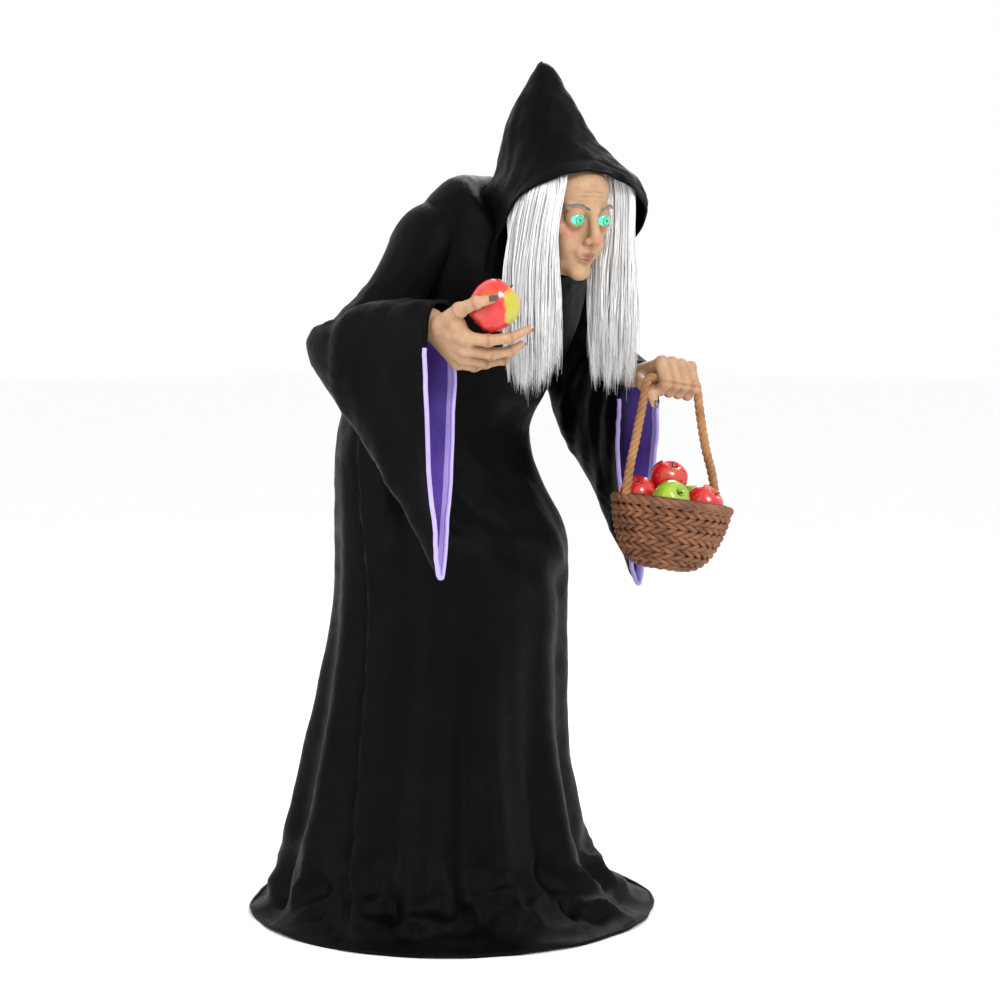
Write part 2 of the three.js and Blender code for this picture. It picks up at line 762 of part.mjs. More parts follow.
// An open hand that cradles an apple: four fingers below it, and the thumb along its outer side.
function rightHand() {
  const palm = v(-296, -362, 1141);
  const parts = [
    limb(WRIST_R, v(-312, -320, 1156), 24),
    limb(palm.clone().add(v(-16, 12, 2)), palm.clone().add(v(4, -22, -2)), 21),
    limb(palm.clone().add(v(12, 18, -2)), palm.clone().add(v(30, -14, -6)), 19),
  ];
  for (let k = 0; k < 4; k++) {
    const knuckle = v(-302 + 15 * k, -390 + 6 * k, 1138 - 3 * k);
    const middle = knuckle.clone().add(v(8, -36, -4));
    const tip = middle.clone().add(v(8, -26, 18 + 2 * k));
    parts.push(limb(knuckle, middle, 10), limb(middle, tip, 8.5));
  }
  const thumbRoot = v(-322, -330, 1160);
  const thumbKnuckle = v(-345, -372, 1184);
  const thumbTip = v(-338, -420, 1206);
  parts.push(limb(thumbRoot, thumbKnuckle, 13), limb(thumbKnuckle, thumbTip, 10));
  const hollow = ball(APPLE_CENTRE, APPLE_RADIUS + 2.2, 14);
  return cut(join(...parts), wristBore(ELBOW_R, WRIST_R), hollow);
}

function apple(centre, radius, lean = v(0, 0, 1)) {
  const profile = [
    [0, -0.86],
    [0.3, -0.95],
    [0.62, -0.8],
    [0.88, -0.42],
    [1, 0.05],
    [0.93, 0.45],
    [0.7, 0.78],
    [0.4, 0.9],
    [0.14, 0.8],
    [0, 0.68],
  ].map(([r, h]) => [r * radius, h * radius]);
  const turn = new THREE.Quaternion().setFromUnitVectors(Y_AXIS, lean.clone().normalize());
  return lathe(profile, 16).applyQuaternion(turn).translate(centre.x, centre.y, centre.z);
}

// Axes of the basket, which hangs a little askew from the fist.
const ALONG = v(Math.cos(radians(GRIP_YAW)), Math.sin(radians(GRIP_YAW)), 0)
  .multiplyScalar(Math.cos(radians(GRIP_TILT)))
  .add(v(0, 0, -Math.sin(radians(GRIP_TILT))));
const ACROSS = v(-Math.sin(radians(GRIP_YAW)), Math.cos(radians(GRIP_YAW)), 0);
const UPWARD = ALONG.clone().cross(ACROSS);
const basketFrame = new THREE.Group();
basketFrame.position.copy(GRIP);
basketFrame.quaternion.setFromRotationMatrix(new THREE.Matrix4().makeBasis(ALONG, ACROSS, UPWARD));

const fromBasket = (p) => p.clone().applyQuaternion(basketFrame.quaternion).add(GRIP);

// A closed fist round the basket's rope: four fingers over the front, and the thumb beside them.
function leftFist() {
  const parts = [
    limb(WRIST_L, fromBasket(v(4, 50, -6)), 23),
    limb(fromBasket(v(-24, 30, 2)), fromBasket(v(28, 30, 2)), 20),
    limb(fromBasket(v(-26, 12, -12)), fromBasket(v(26, 12, -12)), 14),
  ];
  for (let k = 0; k < 4; k++) {
    const x = -31 + 20.5 * k;
    const knuckle = fromBasket(v(x, 14, 20));
    const middle = fromBasket(v(x, -18, 17));
    const tip = fromBasket(v(x, -19, -14));
    parts.push(limb(knuckle, middle, 11), limb(middle, tip, 10));
  }
  const thumbRoot = fromBasket(v(-36, 34, -8));
  const thumbTip = fromBasket(v(-38, -16, -34));
  parts.push(limb(thumbRoot, thumbTip, 11));
  const rope = rod(fromBasket(v(-80, 0, 0)), fromBasket(v(80, 0, 0)), ROPE_RADIUS + 2, 14);
  return cut(join(...parts), rope, wristBore(ELBOW_L, WRIST_L));
}

function addHands() {
  add("right_hand", rightHand(), SKIN);
  add("held_apple", apple(APPLE_CENTRE, APPLE_RADIUS, v(0.5, -0.35, 0.6)), APPLE_RED);
  add("left_hand", leftFist(), SKIN);
}

// ---------------------------------------------------------------- basket
function addBasket() {
  figure.add(basketFrame);
  const { rim, drop, depth } = BASKET;
  const shift = drop * Math.tan(radians(GRIP_TILT)); // keeps the tilted bowl straight below the fist
  const wall = 6;
  const bowl = upright(
    lathe(
      [
        [0, -depth],
        [rim * 0.6, -depth],
        [rim * 0.8, -depth * 0.78],
        [rim * 0.94, -depth * 0.4],
        [rim, -8],
        [rim, 0],
        [rim - 10, 0],
        [rim - 10, -8],
        [rim * 0.94 - wall, -depth * 0.4],
        [rim * 0.8 - wall, -depth * 0.76],
        [rim * 0.58, -depth + wall],
        [0, -depth + wall],
      ],
      24,
    ),
  ).translate(shift, 0, -drop);
  add("basket_bowl", faceOut(bowl), WICKER, basketFrame);
  const foot = rim - 8;
  const handle = pathTube(
    [
      v(shift - foot, 0, -drop - 3),
      v(shift - foot + 2, 0, -drop + 60),
      v(-64, 0, -drop / 2),
      v(-61, 0, -44),
      v(-58, 0, -12),
      v(-47, 0, 0),
      v(0, 0, 0),
      v(47, 0, 0),
      v(60, 0, -12),
      v(70, 0, -44),
      v(100, 0, -drop / 2),
      v(shift + foot - 24, 0, -drop + 60),
      v(shift + foot, 0, -drop - 3),
    ],
    ROPE_RADIUS,
    32,
    7,
  );
  const level = box(v(-200, -20, -drop + GAP), v(200, 20, 30));
  add("basket_handle", common(handle, level), ROPE, basketFrame);
  const radius = 37;
  const layer = 2; // middle of the lower apples above the rim
  const trayTop = layer - radius - 0.5;
  const slope = (0.06 * rim - 10 + wall) / (depth * 0.4 - 8); // of the bowl's inside near the rim
  const trayRadius = (height) => rim - 10 + (height + 8) * slope - GAP;
  const tray = lathe(
    [
      [0, trayTop - TRAY],
      [trayRadius(trayTop - TRAY), trayTop - TRAY],
      [trayRadius(trayTop), trayTop],
      [0, trayTop],
    ],
    24,
  );
  add("basket_tray", faceOut(upright(tray).translate(shift, 0, -drop)), WICKER, basketFrame);
  const places = [
    ["basket_apple_1", -38, -46, layer, APPLE_GREEN],
    ["basket_apple_2", 40, -46, layer, APPLE_RED],
    ["basket_apple_3", 64, 24, layer, APPLE_GREEN],
    ["basket_apple_4", -64, 24, layer, APPLE_RED],
    ["basket_apple_5", 0, 24, layer + 39, APPLE_RED],
  ];
  for (const [name, x, y, z, look] of places) {
    add(name, apple(v(shift + x, y, z - drop), radius, v(0.1, -0.5, 1)), look, basketFrame);
  }
}

// ---------------------------------------------------------------- head
const headFrame = new THREE.Group();
headFrame.position.copy(HEAD_CENTRE);
headFrame.rotation.set(radians(HEAD_PITCH), 0, radians(HEAD_YAW), "ZXY");

// [height, middle y, half width, half depth] of the head in its own frame
const HEAD_RINGS = [
  [-112, -62, 20, 18],
  [-100, -52, 38, 34],
  [-70, -38, 54, 52],
  [-40, -20, 64, 74],
  [0, -6, 71, 90],
  [40, 2, 75, 94],
  [75, 6, 68, 84],
  [100, 8, 48, 60],
  [115, 8, 20, 26],
];

function headSolid(inset) {
  const rings = HEAD_RINGS.map(([z, y, a, b]) => {
    const squeeze = 1 - inset / 118;
    return turns(18).map((angle) => {
      const [x, dy] = superellipse(angle, a - inset, b - inset, 2.2);
      return v(x, y + dy, z * squeeze);
    });
  });
  return loft(rings);
}

function addHead() {
  figure.add(headFrame);
  const seam = 12; // the front and back shells meet here
  const nose = loft([
    turns(8).map((a) => v(6 * Math.cos(a), -84 + 8 * Math.sin(a), 6)),
    turns(8).map((a) => v(9 * Math.cos(a), -92 + 12 * Math.sin(a), -14)),
    turns(8).map((a) => v(14 * Math.cos(a), -92 + 16 * Math.sin(a), -32)),
    turns(8).map((a) => v(9 * Math.cos(a), -86 + 10 * Math.sin(a), -40)),
  ]);
  const inner = headSolid(4);
  const neckHole = rod(v(0, 30, -130), v(0, 30, -20), 36);
  const sockets = [-1, 1].map((side) => ball(v(side * EYE.x, EYE.y, EYE.z), EYE.radius + 2 * GAP, 14));
  const front = cut(
    join(headSolid(0), nose),
    inner,
    neckHole,
    ...sockets,
    box(v(-120, seam - GAP / 2, -150), v(120, 150, 150)),
  );
  const rear = cut(
    headSolid(0),
    inner,
    neckHole,
    box(v(-120, -150, -150), v(120, seam + GAP / 2, 150)),
  );
  add("face_shell", front, SKIN, headFrame);
  add("skull_shell", rear, SKIN, headFrame);
  for (const [name, side] of [
    ["eye_right", -1],
    ["eye_left", 1],
  ]) {
    const centre = v(side * EYE.x, EYE.y, EYE.z);
    const lens = cut(ball(centre, EYE.radius, 14), box(v(-80, EYE.y + 6, -40), v(80, 0, 50)));
    add(name, lens, EYE_GREEN, headFrame);
  }
  const post = join(
    rod(v(0, NECK_Y, NECK_MOTOR.top - 5), v(0, NECK_Y, 1362), 7, 16),
    box(v(-24, NECK_Y - 40, 1352), v(24, NECK_Y - 5, 1358)),
  );
  add("neck_post", post, STEEL);
}

// ---------------------------------------------------------------- hood and hair
// [height, middle y, half width, half depth] of the hood
const HOOD_RINGS = [
  [1354, NECK_Y, 140, 140],
  [1400, NECK_Y - 4, 140, 144],
  [1440, NECK_Y - 16, 136, 152],
  [1470, NECK_Y - 20, 124, 144],
  [1510, NECK_Y - 12, 98, 112],
  [1560, NECK_Y - 4, 66, 76],
  [1615, NECK_Y, 36, 42],
  [1652, NECK_Y, 18, 20],
  [1664, NECK_Y, 8, 9],
];

function hoodSolid(inset, low, high) {
  const rings = HOOD_RINGS.map(([z, y, a, b]) =>
    turns(CLOTH_SIDES).map((angle) => {
      const [x, dy] = superellipse(angle, Math.max(a - inset, 2), Math.max(b - inset, 2));
      return v(x, y + dy, THREE.MathUtils.clamp(z, low, high));
    }),
  );
  return loft(rings);
}

function addHood() {
  const face = loft(
    [-430, -290].map((y) =>
      turns(20).map((angle) => {
        const [x, z] = superellipse(angle, y < -400 ? 118 : 96, 190, 2.6);
        return v(x, y, 1245 + z);
      }),
    ),
  );
  const inner = hoodSolid(CLOTH, 1350, 1655);
  add("hood", cut(hoodSolid(0, 0, 2000), inner, face), ROBE);
}

// A lock of hair from beside the head down to its ragged end: [height, x, y, half width, half depth].
const LOCK_RINGS = [
  [1440, 102, -270, 10, 28],
  [1380, 106, -278, 14, 36],
  [1330, 106, -288, 16, 36],
  [1270, 106, -304, 28, 30],
  [1200, 106, -314, 40, 27],
  [1100, 106, -316, 44, 26],
  [1030, 106, -316, 36, 20],
  [1006, 106, -316, 18, 12],
];

function addHair() {
  for (const [name, side] of [
    ["hair_lock_right", -1],
    ["hair_lock_left", 1],
  ]) {
    const rings = LOCK_RINGS.map(([z, x, y, a, b]) =>
      turns(12).map((angle) => {
        const [dx, dy] = superellipse(angle, a, b, 2.4);
        return v(side * x + dx, y + dy, z);
      }),
    );
    add(name, loft(rings), HAIR);
  }
  const cap = cut(
    faceOut(
      new THREE.SphereGeometry(1, 16, 10).scale(86, 114, 98).translate(0, 10, 34),
    ),
    headSolid(-4),
    box(v(-150, -200, -150), v(150, 200, 40)),
    box(v(-150, -200, -150), v(150, -62, 200)),
  );
  add("wig_cap", cap, HAIR, headFrame);
}

addBase();
addControlBox();
addWaist();
addRobe();
addTorsoFrame();
addArms();
addHands();
addBasket();
addHead();
addHood();
addHair();

export default figure;
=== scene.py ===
"""The looks of a stooped, hooded witch figure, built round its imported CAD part.

Everything is in metres in the part's own frame: +Z up, she faces -Y and her left hand is on +X.
Head, hands and fist are shaped in millimetres as signed distance fields, then put in place.
"""
import json
import math

import bpy
import numpy as np
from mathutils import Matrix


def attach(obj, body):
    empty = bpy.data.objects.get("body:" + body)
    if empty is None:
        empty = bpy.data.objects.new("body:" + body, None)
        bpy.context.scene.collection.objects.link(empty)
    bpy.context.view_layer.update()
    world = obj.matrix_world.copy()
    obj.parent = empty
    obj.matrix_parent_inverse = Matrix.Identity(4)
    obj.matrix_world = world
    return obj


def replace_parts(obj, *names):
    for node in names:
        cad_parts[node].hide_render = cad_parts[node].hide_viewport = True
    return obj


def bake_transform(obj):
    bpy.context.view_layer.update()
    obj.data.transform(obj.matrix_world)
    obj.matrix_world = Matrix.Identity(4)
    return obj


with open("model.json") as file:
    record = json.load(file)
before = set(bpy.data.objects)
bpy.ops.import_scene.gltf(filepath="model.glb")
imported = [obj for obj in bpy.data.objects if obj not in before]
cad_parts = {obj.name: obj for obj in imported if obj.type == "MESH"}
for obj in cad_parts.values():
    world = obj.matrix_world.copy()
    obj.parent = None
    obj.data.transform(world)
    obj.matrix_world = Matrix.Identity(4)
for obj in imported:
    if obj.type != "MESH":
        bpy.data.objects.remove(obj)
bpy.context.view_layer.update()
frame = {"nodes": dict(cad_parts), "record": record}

import openvdb as vdb
from mathutils import Matrix, Vector

MM = 0.001
scene = bpy.context.scene
nodes = frame["nodes"]
chance = np.random.default_rng(7)


# ------------------------------------------------------------------ camera
CAMERA_AT = (-3.130, -3.266, 1.1895)
CAMERA_DOWN = 4.74  # degrees below the horizon
CAMERA_LENS = 82.2


def make_camera():
    data = bpy.data.cameras.new("camera")
    data.sensor_width = 36
    data.lens = CAMERA_LENS
    camera = bpy.data.objects.new("camera", data)
    camera.location = CAMERA_AT
    camera.rotation_euler = (math.radians(90 - CAMERA_DOWN), 0, math.radians(-45))
    scene.collection.objects.link(camera)
    scene.camera = camera


make_camera()


# ------------------------------------------------------------------ small helpers
def vec(*values):
    return np.array(values, float)


def unit(v):
    return v / np.maximum(np.linalg.norm(v, axis=-1, keepdims=True), 1e-12)


def smooth(t):
    t = np.clip(t, 0, 1)
    return t * t * (3 - 2 * t)


def curve(stations, step):
    """Rows on a Catmull-Rom curve through the stations, about a step apart in their first three columns."""
    rows = np.array(stations, float)
    ends = np.vstack([2 * rows[0] - rows[1], rows, 2 * rows[-1] - rows[-2]])
    out = []
    for k in range(len(rows) - 1):
        p0, p1, p2, p3 = ends[k : k + 4]
        count = max(2, int(np.linalg.norm((p2 - p1)[:3]) / step))
        t = (np.arange(count) / count)[:, None]
        out.append(
            0.5 * (2 * p1 + (p2 - p0) * t + (2 * p0 - 5 * p1 + 4 * p2 - p3) * t**2
                   + (3 * p1 - p0 - 3 * p2 + p3) * t**3)
        )
    out.append(rows[-1:])
    return np.vstack(out)


def columns(table):
    return np.array(table, float).T


def table_at(x, xs, ys):
    """A smooth curve through (xs, ys), read at x."""
    fine = curve(np.column_stack([xs, ys, np.zeros(len(xs))]), (xs[-1] - xs[0]) / 400)
    return np.interp(x, fine[:, 0], fine[:, 1])


def wobble(points, size, seed, octaves=3):
    """Smooth repeatable noise between about -1 and 1, with features of the given size."""
    draw = np.random.default_rng(seed)
    total, weight = np.zeros(points.shape[:-1]), 0.0
    for octave in range(octaves):
        share = 0.55**octave
        for _ in range(7):
            direction = unit(draw.normal(size=3)) * 2 * math.pi / (size * 0.5**octave)
            total += share * np.sin(points @ (direction * draw.uniform(0.6, 1.3)) + draw.uniform(0, 6.28))
        weight += share * 2.6
    return total / weight


def grid_faces(rows, columns, wrap_columns=True, wrap_rows=False):
    i = np.arange(rows if wrap_rows else rows - 1)[:, None]
    j = np.arange(columns if wrap_columns else columns - 1)[None, :]
    up, over = (i + 1) % rows, (j + 1) % columns
    corners = [i * columns + j, i * columns + over, up * columns + over, up * columns + j]
    return np.stack(corners, -1).reshape(-1, 4)


def capped_faces(rows, sides):
    """Faces of a tube of rings, whose ends close on the two middle points that follow the rings."""
    j = np.arange(sides)
    after = (j + 1) % sides
    top = (rows - 1) * sides
    low = np.column_stack([j, np.full(sides, rows * sides), after])
    high = np.column_stack([top + after, np.full(sides, rows * sides + 1), top + j])
    return [grid_faces(rows, sides), low, high]


class Soup:
    """Points and faces of one piece, gathered from several closed shapes."""

    def __init__(self):
        self.points, self.faces, self.looks, self.count = [], [], [], 0

    def add(self, points, faces, look=0):
        points = np.asarray(points, float).reshape(-1, 3)
        for group in faces if isinstance(faces, list) else [faces]:
            self.faces.extend((np.asarray(group) + self.count).tolist())
            self.looks.extend([look] * len(group))
        self.points.append(points)
        self.count += len(points)

    def tube(self, path, radius, sides, closed=False, look=0):
        """A round tube along a path. Its ends are closed by fans, unless it runs into itself."""
        path = np.asarray(path, float)
        radius = np.broadcast_to(radius, len(path))[:, None, None]
        ahead = np.roll(path, -1, 0) - np.roll(path, 1, 0)
        if not closed:
            ahead[0], ahead[-1] = path[1] - path[0], path[-1] - path[-2]
        tangent = unit(ahead)
        side = np.zeros_like(path)
        side[0] = unit(np.cross(tangent[0], vec(0, 0, 1) if abs(tangent[0][2]) < 0.9 else vec(1, 0, 0)))
        for k in range(1, len(path)):
            side[k] = unit(side[k - 1] - tangent[k] * (side[k - 1] @ tangent[k]))
        a = np.linspace(0, 2 * math.pi, sides, endpoint=False)[None, :, None]
        spokes = np.cos(a) * side[:, None] + np.sin(a) * np.cross(tangent, side)[:, None]
        rings = path[:, None] + radius * spokes
        if closed:
            self.add(rings, grid_faces(len(path), sides, wrap_rows=True), look)
        else:
            points = np.vstack([rings.reshape(-1, 3), path[:1], path[-1:]])
            self.add(points, capped_faces(len(path), sides), look)

    def strands(self, path, normal, radius, offset, count, pitch, sides, closed=False):
        """A laid rope: strands that wind about the path. The normal gives each path point's zero angle."""
        step = np.linalg.norm(np.diff(path, axis=0), axis=1)
        run = np.concatenate([[0], np.cumsum(step)])
        ahead = np.gradient(path, axis=0)
        if closed:
            whole = step.sum() + np.linalg.norm(path[0] - path[-1])
            pitch = whole / round(whole / pitch)
            ahead = np.roll(path, -1, 0) - np.roll(path, 1, 0)
        tangent = unit(ahead)
        normal = unit(normal - tangent * (normal * tangent).sum(1, keepdims=True))
        other = np.cross(tangent, normal)
        for k in range(count):
            a = (2 * math.pi * (run / pitch + k / count))[:, None]
            self.tube(path + offset * (np.cos(a) * normal + np.sin(a) * other), radius, sides, closed)

    def piece(self, name, looks, slot, body=None):
        return add_piece(name, np.vstack(self.points), self.faces, looks, body, self.looks)


def add_piece(name, points, faces, looks, body=None, which=None):
    """Makes one piece. Which gives the number of each face's look in the list of looks."""
    looks = looks if isinstance(looks, list) else [looks]
    mesh = bpy.data.meshes.new(name)
    faces = faces.tolist() if isinstance(faces, np.ndarray) else faces
    mesh.from_pydata(np.asarray(points).tolist(), [], faces)
    mesh.shade_smooth()
    for look in looks:
        mesh.materials.append(look)
    if which is not None and len(looks) > 1:
        mesh.polygons.foreach_set("material_index", np.array(which, np.int32))
    piece = bpy.data.objects.new(name, mesh)
    scene.collection.objects.link(piece)
    if body:
        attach(piece, body)
    return piece


def paint(piece, name, values):
    """Stores one number per point, which a material reads by name."""
    attribute = piece.data.attributes.new(name, "FLOAT", "POINT")
    attribute.data.foreach_set("value", np.asarray(values, np.float32))


def thicken(piece, thickness, offset=-1.0):
    solid = piece.modifiers.new("thickness", "SOLIDIFY")
    solid.thickness = thickness
    solid.offset = offset
    solid.use_even_offset = False


def grid_normals(grid):
    """Unit normals of a grid of points [row, column, xyz] whose columns close round."""
    across = np.roll(grid, -1, 1) - np.roll(grid, 1, 1)
    return unit(np.cross(across, np.gradient(grid, axis=0)))


# ------------------------------------------------------------------ materials
class Look:
    """A Principled material with procedural nodes that read the object's own space."""

    def __init__(self, name, **sockets):
        self.material = bpy.data.materials.new(name)
        self.material.use_nodes = True
        self.tree = self.material.node_tree
        self.shader = self.tree.nodes["Principled BSDF"]
        self.where = self.tree.nodes.new("ShaderNodeTexCoord").outputs["Object"]
        self.bumps = None
        for socket, value in sockets.items():
            self.shader.inputs[socket.replace("_", " ")].default_value = value

    def feed(self, socket, value):
        """Sets a socket to a number, a vector or an RGB colour, or links another node's output to it."""
        if isinstance(value, bpy.types.NodeSocket):
            self.tree.links.new(value, socket)
        elif socket.type == "RGBA":
            socket.default_value = (*value, 1)
        else:
            socket.default_value = value

    def node(self, kind, inputs, **settings):
        made = self.tree.nodes.new(kind)
        for key, value in settings.items():
            setattr(made, key, value)
        for socket, value in inputs.items():
            self.feed(made.inputs[socket], value)
        return made

    def noise(self, scale, detail=4.0, rough=0.55, stretch=(1, 1, 1), twist=0.0):
        where = self.node("ShaderNodeMapping", {"Vector": self.where, "Scale": stretch}).outputs["Vector"]
        inputs = {"Vector": where, "Scale": scale, "Detail": detail, "Roughness": rough, "Distortion": twist}
        return self.node("ShaderNodeTexNoise", inputs).outputs["Fac"]

    def cells(self, scale):
        return self.node("ShaderNodeTexVoronoi", {"Vector": self.where, "Scale": scale}).outputs["Distance"]

    def threads(self, pitch, axis):
        """Fine parallel ridges a pitch apart across the axis."""
        inputs = {"Vector": self.where, "Scale": 2 * math.pi / (20 * pitch), "Distortion": 1, "Detail": 2}
        return self.node("ShaderNodeTexWave", inputs, bands_direction=axis).outputs["Fac"]

    def painted(self, name):
        return self.node("ShaderNodeAttribute", {}, attribute_name=name).outputs["Fac"]

    def math(self, operation, a, b):
        return self.node("ShaderNodeMath", {0: a, 1: b}, operation=operation).outputs[0]

    def ramp(self, fac, stops):
        """Blends between stops, each a place from 0 to 1 with a number or an RGB colour."""
        made = self.node("ShaderNodeValToRGB", {"Fac": fac})
        elements = made.color_ramp.elements
        while len(elements) < len(stops):
            elements.new(0.5)
        for element, (place, colour) in zip(elements, stops):
            element.position = place
            element.color = (*np.broadcast_to(colour, 3), 1)
        return made.outputs["Color"]

    def between(self, fac, low, high, places=(0.3, 0.7)):
        return self.ramp(fac, list(zip(places, (low, high))))

    def mixed(self, fac, a, b, blend="MIX"):
        made = self.node("ShaderNodeMix", {"Factor": fac}, data_type="RGBA", blend_type=blend)
        self.feed(made.inputs[6], a)
        self.feed(made.inputs[7], b)
        return made.outputs[2]

    def base(self, colour):
        self.feed(self.shader.inputs["Base Color"], colour)

    def rough(self, fac, low, high):
        self.feed(self.shader.inputs["Roughness"], self.between(fac, low, high))

    def bump(self, height, distance, strength):
        made = self.node("ShaderNodeBump", {"Height": height, "Distance": distance, "Strength": strength})
        if self.bumps:
            self.feed(made.inputs["Normal"], self.bumps)
        self.bumps = made.outputs["Normal"]
        self.feed(self.shader.inputs["Normal"], self.bumps)


def cloth_look(name, dark, light, roughness, sheen, weave, shine=0.3):
    look = Look(name, Sheen_Weight=sheen, Sheen_Roughness=0.45, Specular_IOR_Level=shine)
    look.base(look.between(look.noise(9, 5, 0.6), dark, light, (0.3, 0.72)))
    look.rough(look.noise(40, 3), roughness - 0.08, roughness + 0.06)
    look.bump(look.noise(22, 4, 0.5, twist=0.4), 0.0035, 0.5)
    look.bump(look.math("ADD", look.threads(weave, "X"), look.threads(weave, "Z")), 0.0002, 0.5)
    return look.material


def metal_look(name, dark, light, roughness, metallic, grain=(1, 1, 1)):
    look = Look(name, Metallic=metallic)
    look.base(look.between(look.noise(30, 4, stretch=grain), dark, light))
    look.rough(look.noise(60, 3), roughness - 0.1, roughness + 0.1)
    look.bump(look.noise(900, 2, stretch=grain), 0.00015, 0.4)
    return look.material


def plain_look(name, dark, light, roughness, speck=500.0, depth=0.0002, **sockets):
    look = Look(name, **sockets)
    look.base(look.between(look.noise(26, 4), dark, light))
    look.rough(look.noise(70, 3), roughness - 0.07, roughness + 0.07)
    look.bump(look.noise(speck, 3), depth, 0.5)
    return look.material


def skin_look():
    """Painted skin that blushes where "warm" is painted, with lips, and painted shade that darkens its
    creases.
    """
    look = Look("painted_skin", Subsurface_Weight=0.12, Subsurface_Scale=0.006, Specular_IOR_Level=0.4)
    look.shader.inputs["Subsurface Radius"].default_value = (1.0, 0.45, 0.25)
    colour = look.between(look.noise(45, 5, 0.6), (0.40, 0.23, 0.125), (0.51, 0.32, 0.19))
    # The last tint is painted shade: darker colour where shade falls in creases, round the eye hollows and
    # between the lips.
    tints = {"warm": (0.52, 0.16, 0.09), "lip": (0.30, 0.075, 0.055), "crease_shade": (0.20, 0.085, 0.04)}
    for name, tint in tints.items():
        colour = look.mixed(look.painted(name), colour, tint)
    spots = look.between(look.noise(170, 2), 1.0, 0.72, (0.62, 0.72))
    look.base(look.mixed(0.6, colour, spots, "MULTIPLY"))
    look.rough(look.noise(120, 3), 0.42, 0.58)
    look.bump(look.noise(260, 4, 0.6), 0.0009, 0.45)
    look.bump(look.cells(620), 0.0003, 0.35)
    return look.material


def hair_look():
    look = Look("white_hair", Specular_IOR_Level=0.45, Sheen_Weight=0.2, Sheen_Roughness=0.4)
    look.base(look.between(look.noise(160, 3, 0.6, stretch=(1, 1, 0.05)), 0.72, 0.93, (0.25, 0.55)))
    look.rough(look.noise(300, 2, stretch=(1, 1, 0.1)), 0.38, 0.55)
    look.bump(look.noise(900, 3, 0.6, stretch=(1, 1, 0.04)), 0.0006, 0.5)
    return look.material


def apple_look(name, flesh, blush, amount):
    """A glossy apple: blushed in patches, speckled, and golden green where "gold" is painted."""
    look = Look(name, Coat_Weight=0.6, Coat_Roughness=0.12, Specular_IOR_Level=0.55)
    patches = look.noise(16, 4, 0.55)
    blushed = look.between(patches, flesh, blush, (amount - 0.06, amount + 0.1))
    streaks = look.between(look.noise(240, 3, stretch=(1, 1, 0.3)), 0.0, 0.5, (0.5, 0.75))
    ragged = look.math("MULTIPLY", look.math("SUBTRACT", patches, 0.5), 1.4)
    edge = look.between(look.math("ADD", look.painted("gold"), ragged), 0.0, 1.0, (0.66, 0.80))
    gold = look.between(look.noise(34, 3), (0.42, 0.42, 0.02), (0.75, 0.24, 0.015), (0.42, 0.6))
    turned = look.mixed(edge, look.mixed(streaks, blushed, blush), gold)
    specks = look.math("MULTIPLY", look.between(look.cells(430), 1.0, 0.0, (0.09, 0.16)), 0.4)
    speckled = look.mixed(specks, turned, (0.80, 0.55, 0.16))
    look.base(look.mixed(look.painted("pit"), speckled, (0.16, 0.10, 0.02)))
    look.rough(look.noise(60, 3), 0.2, 0.34)
    look.bump(look.noise(60, 3), 0.0012, 0.4)
    return look.material


def fibre_look(name, dark, light, across=(1, 1, 1)):
    look = Look(name, Specular_IOR_Level=0.35)
    fibres = look.noise(520, 4, 0.6, stretch=across)
    patchy = look.between(look.noise(30, 4), dark, light)
    look.base(look.mixed(look.between(fibres, 0.5, 0.0, (0.35, 0.65)), patchy, dark))
    look.rough(fibres, 0.5, 0.72)
    look.bump(fibres, 0.0007, 0.7)
    return look.material


def eye_look():
    """Rings of green round a dark pupil, softly lit from within."""
    look = Look("eye_lens", Roughness=0.12, Coat_Weight=1.0, Coat_Roughness=0.04, Emission_Strength=0.5)
    ribs = look.math("MULTIPLY", look.math("SUBTRACT", look.noise(420, 3), 0.5), 0.16)
    rings = [
        (0.0, (0.004, 0.05, 0.03)), (0.13, (0.004, 0.06, 0.035)), (0.18, (0.02, 0.62, 0.33)),
        (0.36, (0.01, 0.34, 0.20)), (0.44, (0.005, 0.10, 0.07)), (0.50, (0.05, 0.74, 0.46)),
        (0.80, (0.12, 0.86, 0.60)), (1.0, (0.02, 0.36, 0.24)),
    ]
    colour = look.ramp(look.math("ADD", look.painted("from_pupil"), ribs), rings)
    look.base(colour)
    look.feed(look.shader.inputs["Emission Color"], colour)
    return look.material


ROBE_DARK, ROBE_LIGHT = (0.0006, 0.0006, 0.0007), (0.0018, 0.0018, 0.0021)
ROBE = cloth_look("robe_cloth", ROBE_DARK, ROBE_LIGHT, 0.45, 0.006, 0.0013, 0.055)
SATIN = cloth_look("purple_satin", (0.085, 0.045, 0.30), (0.15, 0.085, 0.44), 0.34, 0.3, 0.0008)
# Painted highlight: the lavender is the purple satin as it looks where lit, made as a lighter copy of it.
SATIN_LIT = cloth_look("lit_satin", (0.42, 0.33, 0.78), (0.55, 0.45, 0.90), 0.32, 0.3, 0.0008)
SKIN = skin_look()
HAIR = hair_look()
NAIL = plain_look("painted_nail", (0.055, 0.055, 0.035), (0.12, 0.11, 0.07), 0.3, Coat_Weight=0.4)
BROW = plain_look("brow_hair", (0.09, 0.08, 0.075), (0.22, 0.21, 0.20), 0.6)
APPLE_RED = apple_look("apple_red", (0.50, 0.10, 0.012), (0.60, 0.008, 0.008), 0.30)
APPLE_GREEN = apple_look("apple_green", (0.36, 0.50, 0.02), (0.20, 0.40, 0.012), 0.5)
STEM = fibre_look("apple_stem", (0.05, 0.03, 0.012), (0.13, 0.08, 0.03))
WICKER = fibre_look("wicker", (0.115, 0.043, 0.019), (0.34, 0.145, 0.066), (1, 1, 0.4))
